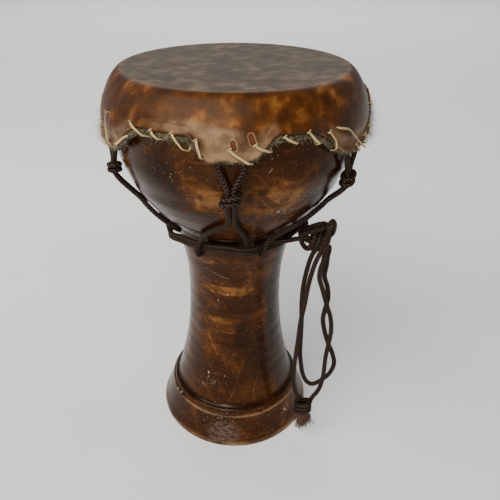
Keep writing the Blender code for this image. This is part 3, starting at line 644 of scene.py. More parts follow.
def shell_outside():
    """Radius and height up the shell's outer side, from the foot to the bearing edge.

    The foot flares by the power 1.2 of the way down, the stem by the power 2.2 down and
    1.6 up, and the bowl is a smooth curve through its marks."""
    down = np.linspace(0.0, 1.0, 30)
    foot_rise = FOOT_CHAMFER + (FOOT_HEIGHT - 0.5 * MM - FOOT_CHAMFER) * down
    foot = RIDGE_RADIUS + (FOOT_RADIUS - RIDGE_RADIUS) * (1 - foot_rise / FOOT_HEIGHT) ** 1.2
    bead = smooth_curve([(RIDGE_RADIUS - inward * MM, FOOT_HEIGHT + rise * MM)
                         for inward, rise in BEAD_OUTLINE], 0.35 * MM)
    rise = np.linspace(0.07, 1.0, 90)
    flare = STEM_RADIUS + (COVE_RADIUS - STEM_RADIUS) * (1 - rise) ** 2.2
    flare_height = COVE_HEIGHT + (STEM_HEIGHT - COVE_HEIGHT) * rise
    neck_rise = np.linspace(0.02, 1.0, 40)
    neck = STEM_RADIUS + (SEAT_RADIUS - STEM_RADIUS) * neck_rise ** 1.6
    neck_height = STEM_HEIGHT + (SEAT_BOTTOM - STEM_HEIGHT) * neck_rise
    bowl = smooth_curve([(LIP_RADIUS, LIP_HEIGHT)] + bowl_marks() + [(BOWL_RADIUS, BOWL_HEIGHT + 14 * MM)],
                        0.8 * MM)
    pieces = [np.array(((FOOT_RADIUS - FOOT_CHAMFER, 0.0), (FOOT_RADIUS - 0.25 * MM, 0.25 * MM))),
              np.stack([foot, foot_rise], axis=1), bead,
              np.stack([flare, flare_height], axis=1), np.stack([neck, neck_height], axis=1),
              np.array(((SEAT_RADIUS, SEAT_TOP - 0.6 * MM), (SEAT_RADIUS + 0.2 * MM, SEAT_TOP),
                        (LIP_RADIUS - 0.9 * MM, LIP_HEIGHT - 0.5 * MM))), bowl]
    edge = [shoulder_point(angle, SKIN_THICKNESS + SEAT_GAP) for angle in (36, 18, 0)]
    shoulder = [(min(radius, BOWL_RADIUS), height) for radius, height in edge]
    return np.vstack(pieces + [np.array([(BOWL_RADIUS, RIM_HEIGHT)] + shoulder)])


def shell_inside():
    """Radius and height down the shell's inner side, from the bearing edge to the foot's mouth."""
    top = shoulder_point(0, SKIN_THICKNESS + SEAT_GAP)
    wall = BOWL_RADIUS - BOWL_WALL - BORE_RADIUS
    marks = [(BORE_RADIUS + wall * out, LIP_HEIGHT + (BOWL_HEIGHT - LIP_HEIGHT) * up)
             for up, out in BOWL_OUTLINE[1::2] + BOWL_OUTLINE[-1:]]
    edge = (top[0] - BEARING_WIDTH, top[1])
    bowl = smooth_curve([edge] + marks[::-1] + [(BORE_RADIUS, THROAT_TOP)], 3 * MM)
    share = np.linspace(1.0, 0.0, 26)
    horn = BORE_RADIUS + (FOOT_BORE_RADIUS - BORE_RADIUS) * (1 - share) ** 1.7
    return np.vstack([bowl, np.stack([horn, HORN_HEIGHT * share], axis=1)])


def shoulder_point(angle, inward):
    """Radius and height on the head's shoulder, a superellipse quarter, set in by a depth."""
    width = HEAD_RADIUS - HEAD_FLAT_RADIUS
    across = math.sin(math.radians(angle)) ** (2 / SHOULDER_POWER)
    up = math.cos(math.radians(angle)) ** (2 / SHOULDER_POWER)
    normal = unit(np.array((across ** (SHOULDER_POWER - 1) / width,
                            up ** (SHOULDER_POWER - 1) / SHOULDER_DEPTH)))
    return (HEAD_FLAT_RADIUS + width * across - inward * normal[0],
            HEAD_HEIGHT - SHOULDER_DEPTH + SHOULDER_DEPTH * up - inward * normal[1])


def shell_radius(height):
    """Outer radius of the shell at a height."""
    outline = shell_outside()
    return np.interp(height, outline[:, 1], outline[:, 0])


def over_shell(turn, height, clearance):
    """Point off the shell's outer surface, along its normal there."""
    step = 1.5 * MM
    rise = (shell_radius(height + step) - shell_radius(height - step)) / (2 * step)
    length = np.hypot(1.0, rise)
    return cylindrical(turn, shell_radius(height) + clearance / length, height - clearance * rise / length)


def collar_radius(height):
    """Radius of a collar's middle: clear of the shell over the collar's whole height."""
    reach = np.array((-0.5, 0.0, 0.5)) * COLLAR_HEIGHT
    return shell_radius(height + reach).max() + COLLAR_REACH


def turn_away(turn, centre):
    """Degrees between azimuths, from -180 to 180."""
    return (turn - centre + 180) % 360 - 180


def spot_distance(turn, height, spot):
    """Distance from a spot's middle, in its half width and half height: the root of the sum
    of both shares squared."""
    middle, level, wide, high = spot[:4]
    return np.hypot(turn_away(turn, middle) / wide, (height / MM - level) / high)


def soft_spot(turn, height, spot, core, fade):
    """1 in a spot's core, easing to 0 over the fade."""
    return 1 - smooth_step((spot_distance(turn, height, spot) - core) / fade)


def rings(height, marks):
    """Sum of rings: each strength times a bell curve of the height's distance in widths."""
    return sum(strength * np.exp(-((height - level) / width) ** 2)
               for level, width, strength in marks)


def tongue_share(turn):
    """How far the hem is drawn down to a station's tongue, from 0 to 1, and by how much."""
    share = np.zeros(np.shape(turn))
    drop = np.zeros(np.shape(turn))
    for station in STATIONS:
        away = np.abs(turn_away(turn, station["turn"]))
        down = smooth_step((station["scallop"] - away) / (station["scallop"] - station["tongue"]))
        drop = drop + station["drop"] * MM * down
        share = np.maximum(share, down)
    return share, drop


def hem_height(turn):
    """Height of the hem's bottom: level between stations, and drawn down to a tongue at each."""
    return HEM_HEIGHT - tongue_share(np.asarray(turn, float))[1]


def skin_radius(height, hem):
    """Outer radius of the skin's side: the shoulder's superellipse, or the flare to the hem."""
    drop = np.clip((height - HEAD_HEIGHT + SHOULDER_DEPTH) / SHOULDER_DEPTH, 0.0, 1.0)
    reach = (1 - drop ** SHOULDER_POWER) ** (1 / SHOULDER_POWER)
    shoulder = HEAD_FLAT_RADIUS + (HEAD_RADIUS - HEAD_FLAT_RADIUS) * reach
    flare = HEM_RADIUS - HEM_FLARE_SLOPE * np.maximum(0.0, height - hem - HEM_FLARE_RISE)
    fade = 1 - smooth_step((height - hem - HEM_FLARE_RISE) / (6 * MM))
    return shoulder + np.maximum(0.0, flare - shoulder) * fade


def head_radius(height):
    """Outer radius of the skin at a height on the front tongue."""
    return skin_radius(height, hem_height(0.0))


def stitch_pitch(index):
    """Degrees between the stitches that follow a station."""
    gap = STATIONS[(index + 1) % len(STATIONS)]["turn"] - STATIONS[index]["turn"]
    return gap % 360 / STITCHES[index]


def stitch_marks():
    """Marks of every whip stitch, from its hole to its low end, round the whole hem.

    The front stitches are the chosen ones. The rest fall at equal pitches between
    stations, with holes at each half pitch and low ends at each whole one."""
    stitches = []
    for index, count in enumerate(STITCHES):
        start, pitch = STATIONS[index]["turn"], stitch_pitch(index)
        for step in range(count):
            hole, low = start + pitch * (step + 0.5), start + pitch * (step + 1)
            if FRONT_LIMITS[0] - 4 < turn_away(hole, 0) < FRONT_LIMITS[1] + 4:
                continue
            sway = 1.2 * math.sin(5.1 * hole)
            top = hem_height(hole) / MM + 4.6 + 0.7 * math.sin(2.3 * hole)
            bottom = hem_height(low + sway) / MM - 1.1
            stitches.append(((hole, top), (low + sway, bottom)))
    behind = [stitch for stitch in stitches if turn_away(stitch[0][0], 0) > 0]
    before = [stitch for stitch in stitches if turn_away(stitch[0][0], 0) <= 0]
    return list(FRONT_STITCHES) + behind + before


def station_route(station, pitch_left, pitch_right):
    """Route of the tension cord from one hem corner, round the waist cord, to the other."""
    turn = station["turn"]
    lift = CORD_RADIUS + SEAT_GAP
    height = BOWL_HEIGHT - station["collar"] * MM
    pair = collar_radius(height)
    fork = LIP_HEIGHT + station["fork"] * MM
    half_pair = math.degrees(CORD_PITCH / 2 / pair)
    fork_turn = math.degrees(CORD_PITCH / 2 / (shell_radius(fork) + lift))
    hook, rise = turn - station["left"], turn + station["right"]

    def hem_corner(side, pitch):
        """In the hem half a pitch beside the station, and a cord's width below it."""
        corner = turn + side * pitch / 2
        return [cylindrical(corner, CHANNEL_RADIUS, hem_height(corner) + HEM_CORD_RISE),
                cylindrical(corner, CHANNEL_RADIUS, hem_height(corner) - CORD_DIAMETER)]

    def gathered(side):
        """Through the collar beside the other cord, and down to the fork."""
        return [cylindrical(turn + side * half_pair, pair, height + 0.7 * COLLAR_HEIGHT),
                cylindrical(turn + side * half_pair, pair, height - 0.6 * COLLAR_HEIGHT),
                over_shell(turn + side * 1.05 * fork_turn, fork, lift)]

    def leg(side, foot_turn):
        """Over the shell from the fork to the waist cord, at equal shares of the way."""
        leaving = turn + side * fork_turn
        steps = max(2, round(abs(foot_turn - leaving) / 12))
        shares = np.arange(1, steps + 1) / (steps + 1)
        return [over_shell(leaving + (foot_turn - leaving) * share,
                           fork + (LIP_HEIGHT + LEG_END_RISE - fork) * share, lift) for share in shares]

    low, high = WAIST_LOW_RADIUS, WAIST_HIGH_RADIUS
    low_height, high_height = WAIST_LOW_HEIGHT, WAIST_HIGH_HEIGHT
    behind = SEAT_RADIUS + SEAT_GAP + CORD_RADIUS
    route = hem_corner(-1, pitch_left) + gathered(-1) + leg(-1, hook) + [
        cylindrical(hook + 2.5, high + 3.1 * MM, high_height + 3.4 * MM),
        cylindrical(hook + 0.3, high + 4.2 * MM, high_height - 1.2 * MM),
        cylindrical(hook - 0.5, low + 2.2 * MM, low_height - 3.9 * MM),
        cylindrical(hook + 2.0, low - 3.2 * MM, low_height - 2.5 * MM)]
    runs = max(3, round((station["left"] + station["right"]) / 11))
    route += [cylindrical(hook + 4 + (rise - hook - 10) * share, behind, low_height + 1.0 * MM)
              for share in np.linspace(0, 1, runs)]
    route += [cylindrical(rise - 2.5, behind + 1.0 * MM, high_height - 0.4 * MM),
              cylindrical(rise - 0.5, behind + 2.8 * MM, high_height + 0.8 * MM),
              cylindrical(rise, high + 0.2 * MM, high_height + 2.9 * MM)]
    return route + leg(1, rise)[::-1] + gathered(1)[::-1] + hem_corner(1, pitch_right)[::-1]


def braid_relief(along, angle):
    """Height of the braid from 0 in its holes to 1 on its strands.

    Each column across the cord holds strands a period apart that lean one way, and the
    next column leans the other way. A strand's height is the root of a rounded wave along
    the cord, times a falling-off towards the column's sides."""
    place = angle / TURN * BRAID_COLUMNS
    column = np.floor(place + 1e-9)
    side = (place - column) * 2 - 1
    lean = 1 - 2 * (column % 2)
    wave = np.abs(np.cos(math.pi * (along / BRAID_PERIOD + BRAID_LEAN * lean * side)))
    return wave ** 0.85 * (1 - 0.6 * side ** 4)


def add_braid(surface, path, facing, diameter, around, closed=False):
    """Add a round braid along a path: a circle whose radius rises with the braid's relief."""
    along = distances(path)
    angle = circle(around)[None, :] + 0.5 * TURN / around
    relief = braid_relief(along[:, None], angle)
    radius = diameter / 2 * (1 - BRAID_DEPTH * (1 - relief))
    grid = sweep(path, facing, radius * np.cos(angle), radius * np.sin(angle), closed)
    surface.add(grid, closed, along / diameter, {"weave": relief})


def outward(path):
    """Direction away from the drum's axis at each point."""
    return path * np.array((1.0, 1.0, 0.0))


def facing_front(path):
    """Direction towards the front at each point."""
    return np.broadcast_to(np.array((0.0, -1.0, 0.0)), path.shape)


def shell_lift(turn, radius, height, outer):
    """Unevenness added to the turned side's radius: two faint ripples, the three deepest
    chips as bell curves of the distance, and the groove above the lip."""
    uneven = 0.07 * ripple(turn, height, 3)
    uneven = uneven + 0.05 * ripple(0 * turn, height, 4, lengthwise=(150.0, 700.0))
    dents = 0.0
    for dent_turn, dent_height, _, _, width in WOOD_MARKS[:3]:
        sideways = turn_away(turn, dent_turn) * np.radians(1) * radius
        away = np.hypot(sideways, height - dent_height * MM)
        dents = dents - 0.3 * np.exp(-(away / (1.6 * width * MM)) ** 2)
    cut = rings(height, [(GROOVE_HEIGHT, 0.5 * MM, 0.55)])
    turned = outer & (height > 1 * MM) & (height < RIM_HEIGHT - 6 * MM)
    return np.where(turned, uneven + dents - cut, 0.0) * MM


def shell_marks(turn, height, outer):
    """Values of the wood's finish: stains together with the painted shade of the dark rings, pale rings that
    are partly wear and partly painted highlight, flecks, and a patch of painted sheen on the foot's front.

    Stains add up. A fleck is a bell curve of the distance, and the greatest one counts."""
    stain_and_shade = 0.0 * (turn + height)
    for spot in WOOD_SPOTS:
        stain_and_shade = stain_and_shade + spot[4] * soft_spot(turn, height, spot, 0.55, 0.75)
    fleck = 0.0 * (turn + height)
    for patch in FLECKS:
        fleck = np.maximum(fleck, np.exp(-spot_distance(turn, height, patch) ** 2))
    # The dark rings of painted shade are taken off the stains
    return {"stain_and_shade": stain_and_shade - rings(height, SHADED_RINGS) * outer,
            "wear_and_highlight": rings(height, WORN_AND_HIGHLIGHT_RINGS) * outer, "fleck": fleck,
            "painted_sheen": soft_spot(turn, height, PAINTED_SHEEN, 0.6, 0.6) * outer}


def hem_fold(turn):
    """Folded hem: radius, height, share of raw hide and share of outer skin.

    The section's points lie out and up from the hem's bottom. The lip is drawn down at the
    tongues and wanders between them, the roll is now fat and now thin, and each stitch
    pinches it by a bell curve of the degrees."""
    section = smooth_curve(np.array(HEM_SECTION), HEM_STEP)
    share = np.linspace(0, 1, len(section))[:, None]
    out, up = section[:, :1], section[:, 1:]
    raw_from, raw_to = (point / (len(HEM_SECTION) - 1) for point in RAW_SECTION)
    drop_lip = 2.1 * tongue_share(turn)[0] * smooth_step((up - 2.4) / 1.2)
    wander = 0.28 * ripple(turn, 0 * up, 11, around=(9, 40)) * smooth_step((up - 2.0) / 1.5)
    fat = 0.16 * ripple(turn, 0 * up, 12, around=(12, 60))
    fat = fat + 0.08 * ripple(turn, up, 13, around=(40, 120))
    pinch = np.zeros(turn.shape)
    for marks in stitch_marks():
        pinch = pinch + np.exp(-(turn_away(turn, marks[-1][0]) / 1.5) ** 2)
    roll = smooth_step((out + 3.0) / 3.0)
    radius = HEM_RADIUS + (out + (fat - 0.45 * pinch) * roll) * MM
    height = hem_height(turn) + (up - drop_lip + wander) * MM
    raw = smooth_step((share - raw_from) / 0.02) * (1 - smooth_step((share - raw_to) / 0.02))
    return radius, height, raw + 0 * turn, smooth_step((share - raw_to) / 0.05) + 0 * turn


def skin_side(turn, edge_radius, edge_height):
    """Radius and height of the skin's side, from the hem's upper edge to the flat.

    Its rows crowd towards the flat by the power 1.6. Fine folds gather it in two places,
    each a bell curve of the degrees, and broad dents go all round."""
    down = np.linspace(1.0, 0.0, 46)[1:, None]
    height = HEAD_HEIGHT - (HEAD_HEIGHT - edge_height) * down ** 1.6
    radius = skin_radius(height, hem_height(turn))
    radius = radius + (edge_radius - radius[:1]) * smooth_step((down - 0.86) / 0.14)
    folds = ripple(turn, 0 * down, 15, around=(60, 150), waves=14)
    gathered = sum(np.exp(-(turn_away(turn, middle) / width) ** 2) for middle, width in GATHERS)
    dents = ripple(turn, height, 16, around=(3, 14), lengthwise=(40.0, 160.0))
    lift = (0.16 * folds * gathered * smooth_step((down - 0.35) / 0.4)
            + 0.05 * dents * smooth_step((down - 0.15) / 0.3))
    return radius + lift * MM, height


def skin_flat(turn):
    """Radius and height of the flat, from its edge to near the middle: it sags by the square
    of the share of its radius, with faint ripples."""
    reach = np.linspace(1.0, 0.0, 26)[1:-1, None] ** 1.15
    radius = HEAD_FLAT_RADIUS * reach + 0 * turn
    sag = 0.25 * (1 - reach ** 2)
    sag = sag + 0.06 * ripple(turn, radius, 17, around=(2, 9), lengthwise=(60.0, 260.0))
    return radius, HEAD_HEIGHT - (sag + 0.06) * MM * smooth_step((1 - reach) / 0.06)


def skin_inside(turn, edge_radius, edge_height):
    """Radius and height of the skin's inside, from near the middle to the hem's first edge:
    the outer shape set in by the skin's thickness, then straight to the edge."""
    reach = np.linspace(0.06, 1.0, 10)[:, None]
    shoulder = np.array([shoulder_point(angle, SKIN_THICKNESS) for angle in np.linspace(8, 55, 9)])
    radius = np.vstack([reach * HEAD_FLAT_RADIUS, shoulder[:, :1]]) + 0 * turn
    height = np.vstack([0 * reach + HEAD_HEIGHT - SKIN_THICKNESS, shoulder[:, 1:]]) + 0 * turn
    low = np.linspace(0.25, 0.9, 4)[:, None]
    return (np.vstack([radius, radius[-1:] + (edge_radius - radius[-1:]) * low]),
            np.vstack([height, height[-1:] + (edge_height - height[-1:]) * low]))


def hide_marks(turn, radius, height, raw, outer):
    """Values of the hide's finish: raw underside, a top painted gray as a painted reflection, pale patches
    that are partly a painted highlight, and dark patches with painted shade on the right side.

    Patches add up. The pale line along the rim is a bell curve of the radius."""
    def patches(spots):
        """Sum of soft spots, each times its strength."""
        return sum(spot[6] * soft_spot(turn, height, spot, spot[4], spot[5]) for spot in spots)

    hem = hem_height(turn)
    top = smooth_step((HEAD_FLAT_RADIUS + 0.8 * MM - radius) / (1.6 * MM)) * outer
    rim = 0.35 * np.exp(-((radius - HEAD_FLAT_RADIUS) / (0.5 * MM)) ** 2)
    gray = tongue_share(turn)[0] * (1 - smooth_step((height - hem - 7 * MM) / (7 * MM)))
    # Pale: the patches, partly a painted highlight, the line along the rim, and gray at the tongues
    pale = patches(PALE_AND_SHEEN_PATCHES) + rim + 0.8 * gray
    # Dark: the patches, with painted shade on the right side, and darker just above the hem
    dark = patches(DARK_AND_SHADED_PATCHES) + 0.5 * (1 - smooth_step((height - hem) / (8 * MM)))
    return {"raw": raw, "top": top, "pale": np.clip(pale, 0, 1) * outer * (1 - raw),
            "dark": np.clip(dark, 0, 1) * outer * (1 - top)}


class DrumSizes(bpy.types.PropertyGroup):
    """Sizes and counts of the fine parts"""
    cord_diameter: bpy.props.FloatProperty(
        name="Cord diameter", description="Diameter of the braided cord",
        default=CORD_DIAMETER, min=0.001, max=0.006, subtype="DISTANCE", unit="LENGTH")
    lace_width: bpy.props.FloatProperty(
        name="Lace width", description="Width of the rawhide lace in the hem",
        default=LACE_WIDTH, min=0.0005, max=0.004, subtype="DISTANCE", unit="LENGTH")
    hair_length: bpy.props.FloatProperty(
        name="Hair length", description="Longest hair left on the folded hem",
        default=3.4 * MM, min=0.0, max=0.02, subtype="DISTANCE", unit="LENGTH")
    hair_count: bpy.props.IntProperty(
        name="Hairs", description="Number of hairs round the hem", default=3000, min=1, max=8000)
    fray_count: bpy.props.IntProperty(
        name="Frayed strands", description="Number of loose strands below the tassel knot",
        default=320, min=1, max=400)


class DrumColours(bpy.types.PropertyGroup):
    """Colours of the finishes and of the floor"""
    wood_dark: bpy.props.FloatVectorProperty(
        name="Dark wood", description="Darkest stain of the lacquered wood",
        default=(0.0075, 0.0030, 0.0016), size=3, min=0.0, max=1.0, subtype="COLOR")
    wood_middle: bpy.props.FloatVectorProperty(
        name="Wood", description="Main red brown of the lacquered wood",
        default=(0.027, 0.0078, 0.0018), size=3, min=0.0, max=1.0, subtype="COLOR")
    wood_gold: bpy.props.FloatVectorProperty(
        name="Golden wood", description="Lightest streaks of the lacquered wood",
        default=(0.138, 0.056, 0.0145), size=3, min=0.0, max=1.0, subtype="COLOR")
    hide: bpy.props.FloatVectorProperty(
        name="Hide", description="Orange brown of the head's side",
        default=(0.062, 0.0165, 0.0020), size=3, min=0.0, max=1.0, subtype="COLOR")
    hide_dark: bpy.props.FloatVectorProperty(
        name="Dark hide", description="Dark red blotches in the hide",
        default=(0.022, 0.0060, 0.002), size=3, min=0.0, max=1.0, subtype="COLOR")
    raw_hide: bpy.props.FloatVectorProperty(
        name="Raw hide", description="Gray green underside of the hide, folded out at the hem",
        default=(0.10, 0.080, 0.044), size=3, min=0.0, max=1.0, subtype="COLOR")
    lace: bpy.props.FloatVectorProperty(
        name="Lace", description="Straw colour of the rawhide lace",
        default=(0.40, 0.285, 0.115), size=3, min=0.0, max=1.0, subtype="COLOR")
    cord: bpy.props.FloatVectorProperty(
        name="Cord", description="Dark brown of the cord's strands",
        default=(0.060, 0.032, 0.021), size=3, min=0.0, max=1.0, subtype="COLOR")
    floor: bpy.props.FloatVectorProperty(
        name="Floor", description="Pale floor",
        default=(0.745, 0.74, 0.725), size=3, min=0.0, max=1.0, subtype="COLOR")


def drum_sizes():
    """The sizes and counts kept on the scene."""
    return bpy.context.scene.drum_sizes


def drum_colours():
    """The colours kept on the scene."""
    return bpy.context.scene.drum_colours


def lacquered_wood():
    """Dark lacquer over turned wood: level streaks, blotches, placed stains with rings of painted shade,
    chips and a painted glint along the lip, pale rings of wear and painted highlight, and a painted sheen on
    the foot.
    """
    colours = drum_colours()
    finish = Finish("lacquered wood")
    streak = finish.noise(finish.place((0.3, 0.3, 2.4)), 70.0, 6.0, 0.62)
    figure = finish.noise(finish.place((1.0, 1.0, 0.8)), 30.0, 5.0, 0.6)
    fine = finish.noise(finish.place((0.12, 0.12, 3.0)), 420.0, 3.0, 0.6)
    breakup = finish.noise(finish.place((1.0, 1.0, 1.5)), 80.0, 5.0, 0.62)
    tone = finish.math("MULTIPLY_ADD", streak, 0.34, finish.math("MULTIPLY", figure, 0.75))
    tone = finish.math("MULTIPLY_ADD", fine, 0.26, tone)
    tone = finish.math("MULTIPLY_ADD", breakup, 0.25, tone)
    # The stains carry painted shade too: the dark rings in the groove, under the lip and in the cove
    stain_and_shade = finish.math("MULTIPLY", finish.value("stain_and_shade"), finish.range(breakup, 0.34, 0.62, 0.25, 1.4))
    tone = finish.math("SUBTRACT", finish.math("ADD", tone, stain_and_shade), 0.3)
    flow = finish.node("TexNoise", {"Vector": finish.place((1.0, 1.0, 0.7)), "Scale": 24.0, "Detail": 3.0,
                                    "Distortion": 1.4}).outputs["Fac"]
    vein = finish.range(finish.math("ABSOLUTE", finish.math("SUBTRACT", flow, 0.5)), 0.0, 0.035, 0.12, 0.0)
    tone = finish.math("ADD", tone, vein)
    colour = finish.ramp(tone, ((0.16, colours.wood_dark), (0.36, 0.55 * np.array(colours.wood_middle)),
                                (0.52, colours.wood_middle), (0.68, (0.064, 0.0200, 0.0038)),
                                (0.86, colours.wood_gold)))
    blotch = finish.noise(finish.place((1.0, 1.0, 1.6)), 330.0, 3.0, 0.6)
    # Painted sheen: the foot's front is painted gray in patches, standing in for a highlight
    painted_sheen = finish.math("MULTIPLY", finish.value("painted_sheen"), finish.range(blotch, 0.38, 0.60, 0.15, 0.85))
    colour = finish.blend(painted_sheen, colour, (0.092, 0.060, 0.044))
    pores = finish.noise(finish.place((1.0, 1.0, 0.25)), 900.0, 2.0, 0.5)
    colour = finish.blend(finish.range(pores, 0.62, 0.72, 0.0, 0.55), colour, colours.wood_dark)
    # Pale rings, partly wear and partly a painted highlight along the ridge and the lip
    wear_and_highlight = finish.math("MULTIPLY", finish.value("wear_and_highlight"), finish.range(figure, 0.35, 0.62))
    colour = finish.blend(wear_and_highlight, colour, (0.24, 0.135, 0.075))
    colour = finish.blend(finish.range(blotch, 0.55, 0.66, 0.0, 0.5), colour, (0.022, 0.006, 0.003))
    # Chips and scratches, and a painted glint along the lip's front
    marks = surface_marks(finish, WOOD_MARKS, shell_radius)
    colour = finish.blend(marks, colour, (0.30, 0.22, 0.15))
    dust = finish.noise(finish.place(), 1300.0, 2.0, 0.6)
    fleck = finish.math("SUBTRACT", dust, finish.math("MULTIPLY", finish.value("fleck"), -0.085))
    colour = finish.blend(finish.range(fleck, 0.70, 0.75, 0.0, 0.8), colour, (0.48, 0.42, 0.34))
    roughness = finish.math("MULTIPLY_ADD", breakup, 0.34, 0.06)
    roughness = finish.math("ADD", roughness, finish.math("MULTIPLY", finish.value("wear_and_highlight"), 0.12))
    lines = finish.bump(fine, 0.12 * MM, 0.55)
    waves = finish.bump(streak, 0.5 * MM, 0.6, lines)
    pits = finish.bump(finish.math("SUBTRACT", 1.0, marks), 0.25 * MM, 0.8, waves)
    return finish.finish(Base_Color=colour, Roughness=roughness, Normal=pits, Coat_Weight=0.06,
                         Coat_Roughness=0.08, Specular_IOR_Level=0.2, Specular_Tint=(1.0, 0.66, 0.38),
                         IOR=1.36)


def head_hide():
    """Oiled rawhide: dark and light cockles, red blotches, specks, and gray raw hide at the fold."""
    colours = drum_colours()
    finish = Finish("head hide")
    place = finish.place()
    cockle = finish.noise(place, 130.0, 3.0, 0.5)
    broad = finish.noise(place, 46.0, 3.0, 0.5)
    fine = finish.noise(place, 900.0, 4.0, 0.6)
    tone = finish.math("MULTIPLY_ADD", cockle, 0.75, finish.math("MULTIPLY", broad, 0.35))
    colour = finish.ramp(tone, ((0.41, colours.hide_dark), (0.52, 0.62 * np.array(colours.hide)),
                                (0.61, colours.hide), (0.76, (0.175, 0.066, 0.013))))
    # Painted reflection: the top is painted gray brown, as the pale room shows in it
    top = finish.value("top")
    top_and_reflection = finish.ramp(tone, ((0.40, (0.032, 0.021, 0.012)), (0.56, (0.054, 0.037, 0.022)),
                                  (0.74, (0.118, 0.082, 0.049))))
    colour = finish.blend(top, colour, top_and_reflection)
    specks = finish.noise(place, 1100.0, 2.0, 0.5)
    spotted = finish.math("MULTIPLY", finish.range(specks, 0.64, 0.70), finish.value("dark"))
    # Dark mask: specks at the upper left, and painted shade on the right side
    colour = finish.blend(finish.math("MULTIPLY", finish.value("dark"), 0.35), colour, (0.05, 0.024, 0.013))
    colour = finish.blend(spotted, colour, (0.012, 0.008, 0.006))
    # Pale patches, partly a painted highlight on the front tongue
    pale_and_sheen = finish.math("MULTIPLY", finish.value("pale"), finish.range(cockle, 0.36, 0.60, 0.35, 0.95))
    colour = finish.blend(pale_and_sheen, colour, (0.195, 0.120, 0.066))
    slit_rim, slit = (surface_marks(finish, [mark[:4] + (width,) for mark in HEAD_SLITS], head_radius, 0.25)
                      for width in (2.0, 1.75))
    colour = finish.blend(finish.range(slit_rim, 0.05, 0.25, 0.0, 0.8), colour, (0.34, 0.24, 0.13))
    colour = finish.blend(finish.range(slit, 0.05, 0.25), colour, (0.075, 0.024, 0.010))
    mould = finish.ramp(finish.noise(place, 520.0, 4.0, 0.65),
                        ((0.40, (0.008, 0.006, 0.004)), (0.57, 0.65 * np.array(colours.raw_hide)),
                         (0.74, (0.21, 0.17, 0.10))))
    colour = finish.blend(finish.value("raw"), colour, mould)
    roughness = finish.math("MULTIPLY_ADD", fine, 0.22, 0.28)
    roughness = finish.math("MULTIPLY_ADD", finish.value("raw"), 0.32, roughness)
    roughness = finish.math("MULTIPLY_ADD", finish.value("pale"), 0.14, roughness)
    grain = finish.bump(finish.math("SUBTRACT", fine, finish.math("MULTIPLY", slit, 3.0)), 0.14 * MM, 0.7)
    cockled = finish.bump(cockle, 0.5 * MM, 0.4, grain)
    return finish.finish(Base_Color=colour, Roughness=roughness, Normal=cockled, Coat_Weight=0.04,
                         Coat_Roughness=0.3, Specular_IOR_Level=0.20, Specular_Tint=(1.0, 0.7, 0.42),
                         Subsurface_Weight=0.04, Subsurface_Radius=(0.003, 0.0012, 0.0005),
                         Subsurface_Scale=1.0)


def lace_hide():
    """Dry pale rawhide, with grain along the strap and darker dirt."""
    colours = drum_colours()
    finish = Finish("lace hide")
    grain = finish.noise(finish.run((0.35, 14.0, 1.0)), 6.0, 4.0, 0.6)
    dirt = finish.noise(finish.place(), 160.0, 3.0, 0.55)
    colour = finish.ramp(grain, ((0.3, (0.24, 0.155, 0.07)), (0.5, colours.lace), (0.72, (0.60, 0.47, 0.24))))
    colour = finish.blend(finish.range(dirt, 0.48, 0.66, 0.0, 0.6), colour, (0.20, 0.13, 0.065))
    return finish.finish(Base_Color=colour, Roughness=0.55, Normal=finish.bump(grain, 0.12 * MM, 0.8),
                         Subsurface_Weight=0.1, Subsurface_Radius=(0.002, 0.001, 0.0005),
                         Subsurface_Scale=1.0)


def braid_fibre():
    """Dark braid: nearly black holes of painted shade between the strands, brown strands with fine fibres and
    redder crests.
    """
    colours = drum_colours()
    finish = Finish("braid fibre")
    weave = finish.value("weave")
    fibre = finish.noise(finish.run((2.0, 18.0, 1.0)), 4.0, 3.0, 0.6)
    worn = finish.noise(finish.place(), 130.0, 3.0, 0.55)
    strand = finish.ramp(fibre, ((0.3, 0.5 * np.array(colours.cord)), (0.55, colours.cord),
                                 (0.78, (0.16, 0.088, 0.056))))
    strand = finish.blend(finish.range(worn, 0.5, 0.7, 0.0, 0.45), strand, (0.105, 0.052, 0.032))
    # Painted shade: the braid's holes are painted nearly black
    colour = finish.blend(finish.range(weave, 0.62, 0.88), (0.0022, 0.0014, 0.001), strand)
    normal = finish.bump(fibre, 0.08 * MM, 0.6)
    return finish.finish(Base_Color=colour, Roughness=0.5, Normal=normal, Specular_IOR_Level=0.08)


def fray_fibre():
    """Loose strands: reddish brown, each a little different."""
    finish = Finish("fray fibre")
    tone = finish.math("MULTIPLY_ADD", finish.noise(finish.place(), 700.0, 2.0, 0.5), 0.5,
                       finish.math("MULTIPLY", finish.value("tone"), 0.5))
    colour = finish.ramp(tone, ((0.2, (0.018, 0.010, 0.007)), (0.5, (0.042, 0.019, 0.012)),
                                (0.8, (0.13, 0.058, 0.034))))
    return finish.finish(Base_Color=colour, Roughness=0.6, Specular_IOR_Level=0.2)


def hem_hair():
    """Hair left on the hide, from gray brown at the root to pale at the tip."""
    finish = Finish("hem hair")
    colour = finish.ramp(finish.value("tone"), ((0.0, (0.035, 0.027, 0.016)), (0.55, (0.14, 0.11, 0.06)),
                                                (1.0, (0.42, 0.35, 0.22))))
    return finish.finish(Base_Color=colour, Roughness=0.5)


def stage_floor():
    """Matt pale floor with a faint unevenness, painted paler towards the back as painted light."""
    finish = Finish("stage floor")
    cloud = finish.noise(finish.place(), 6.0, 2.0, 0.5)
    colour = finish.ramp(cloud, ((0.3, 0.9 * np.array(drum_colours().floor)), (0.7, drum_colours().floor)))
    # Painted light: the floor is painted paler towards the back
    depth = finish.node("SeparateXYZ", {"Vector": finish.place()}).outputs["Y"]
    colour = finish.blend(finish.range(depth, -0.1, 0.45), colour, (0.93, 0.93, 0.92))
    return finish.finish(Base_Color=colour, Roughness=0.9, Specular_IOR_Level=0.1)


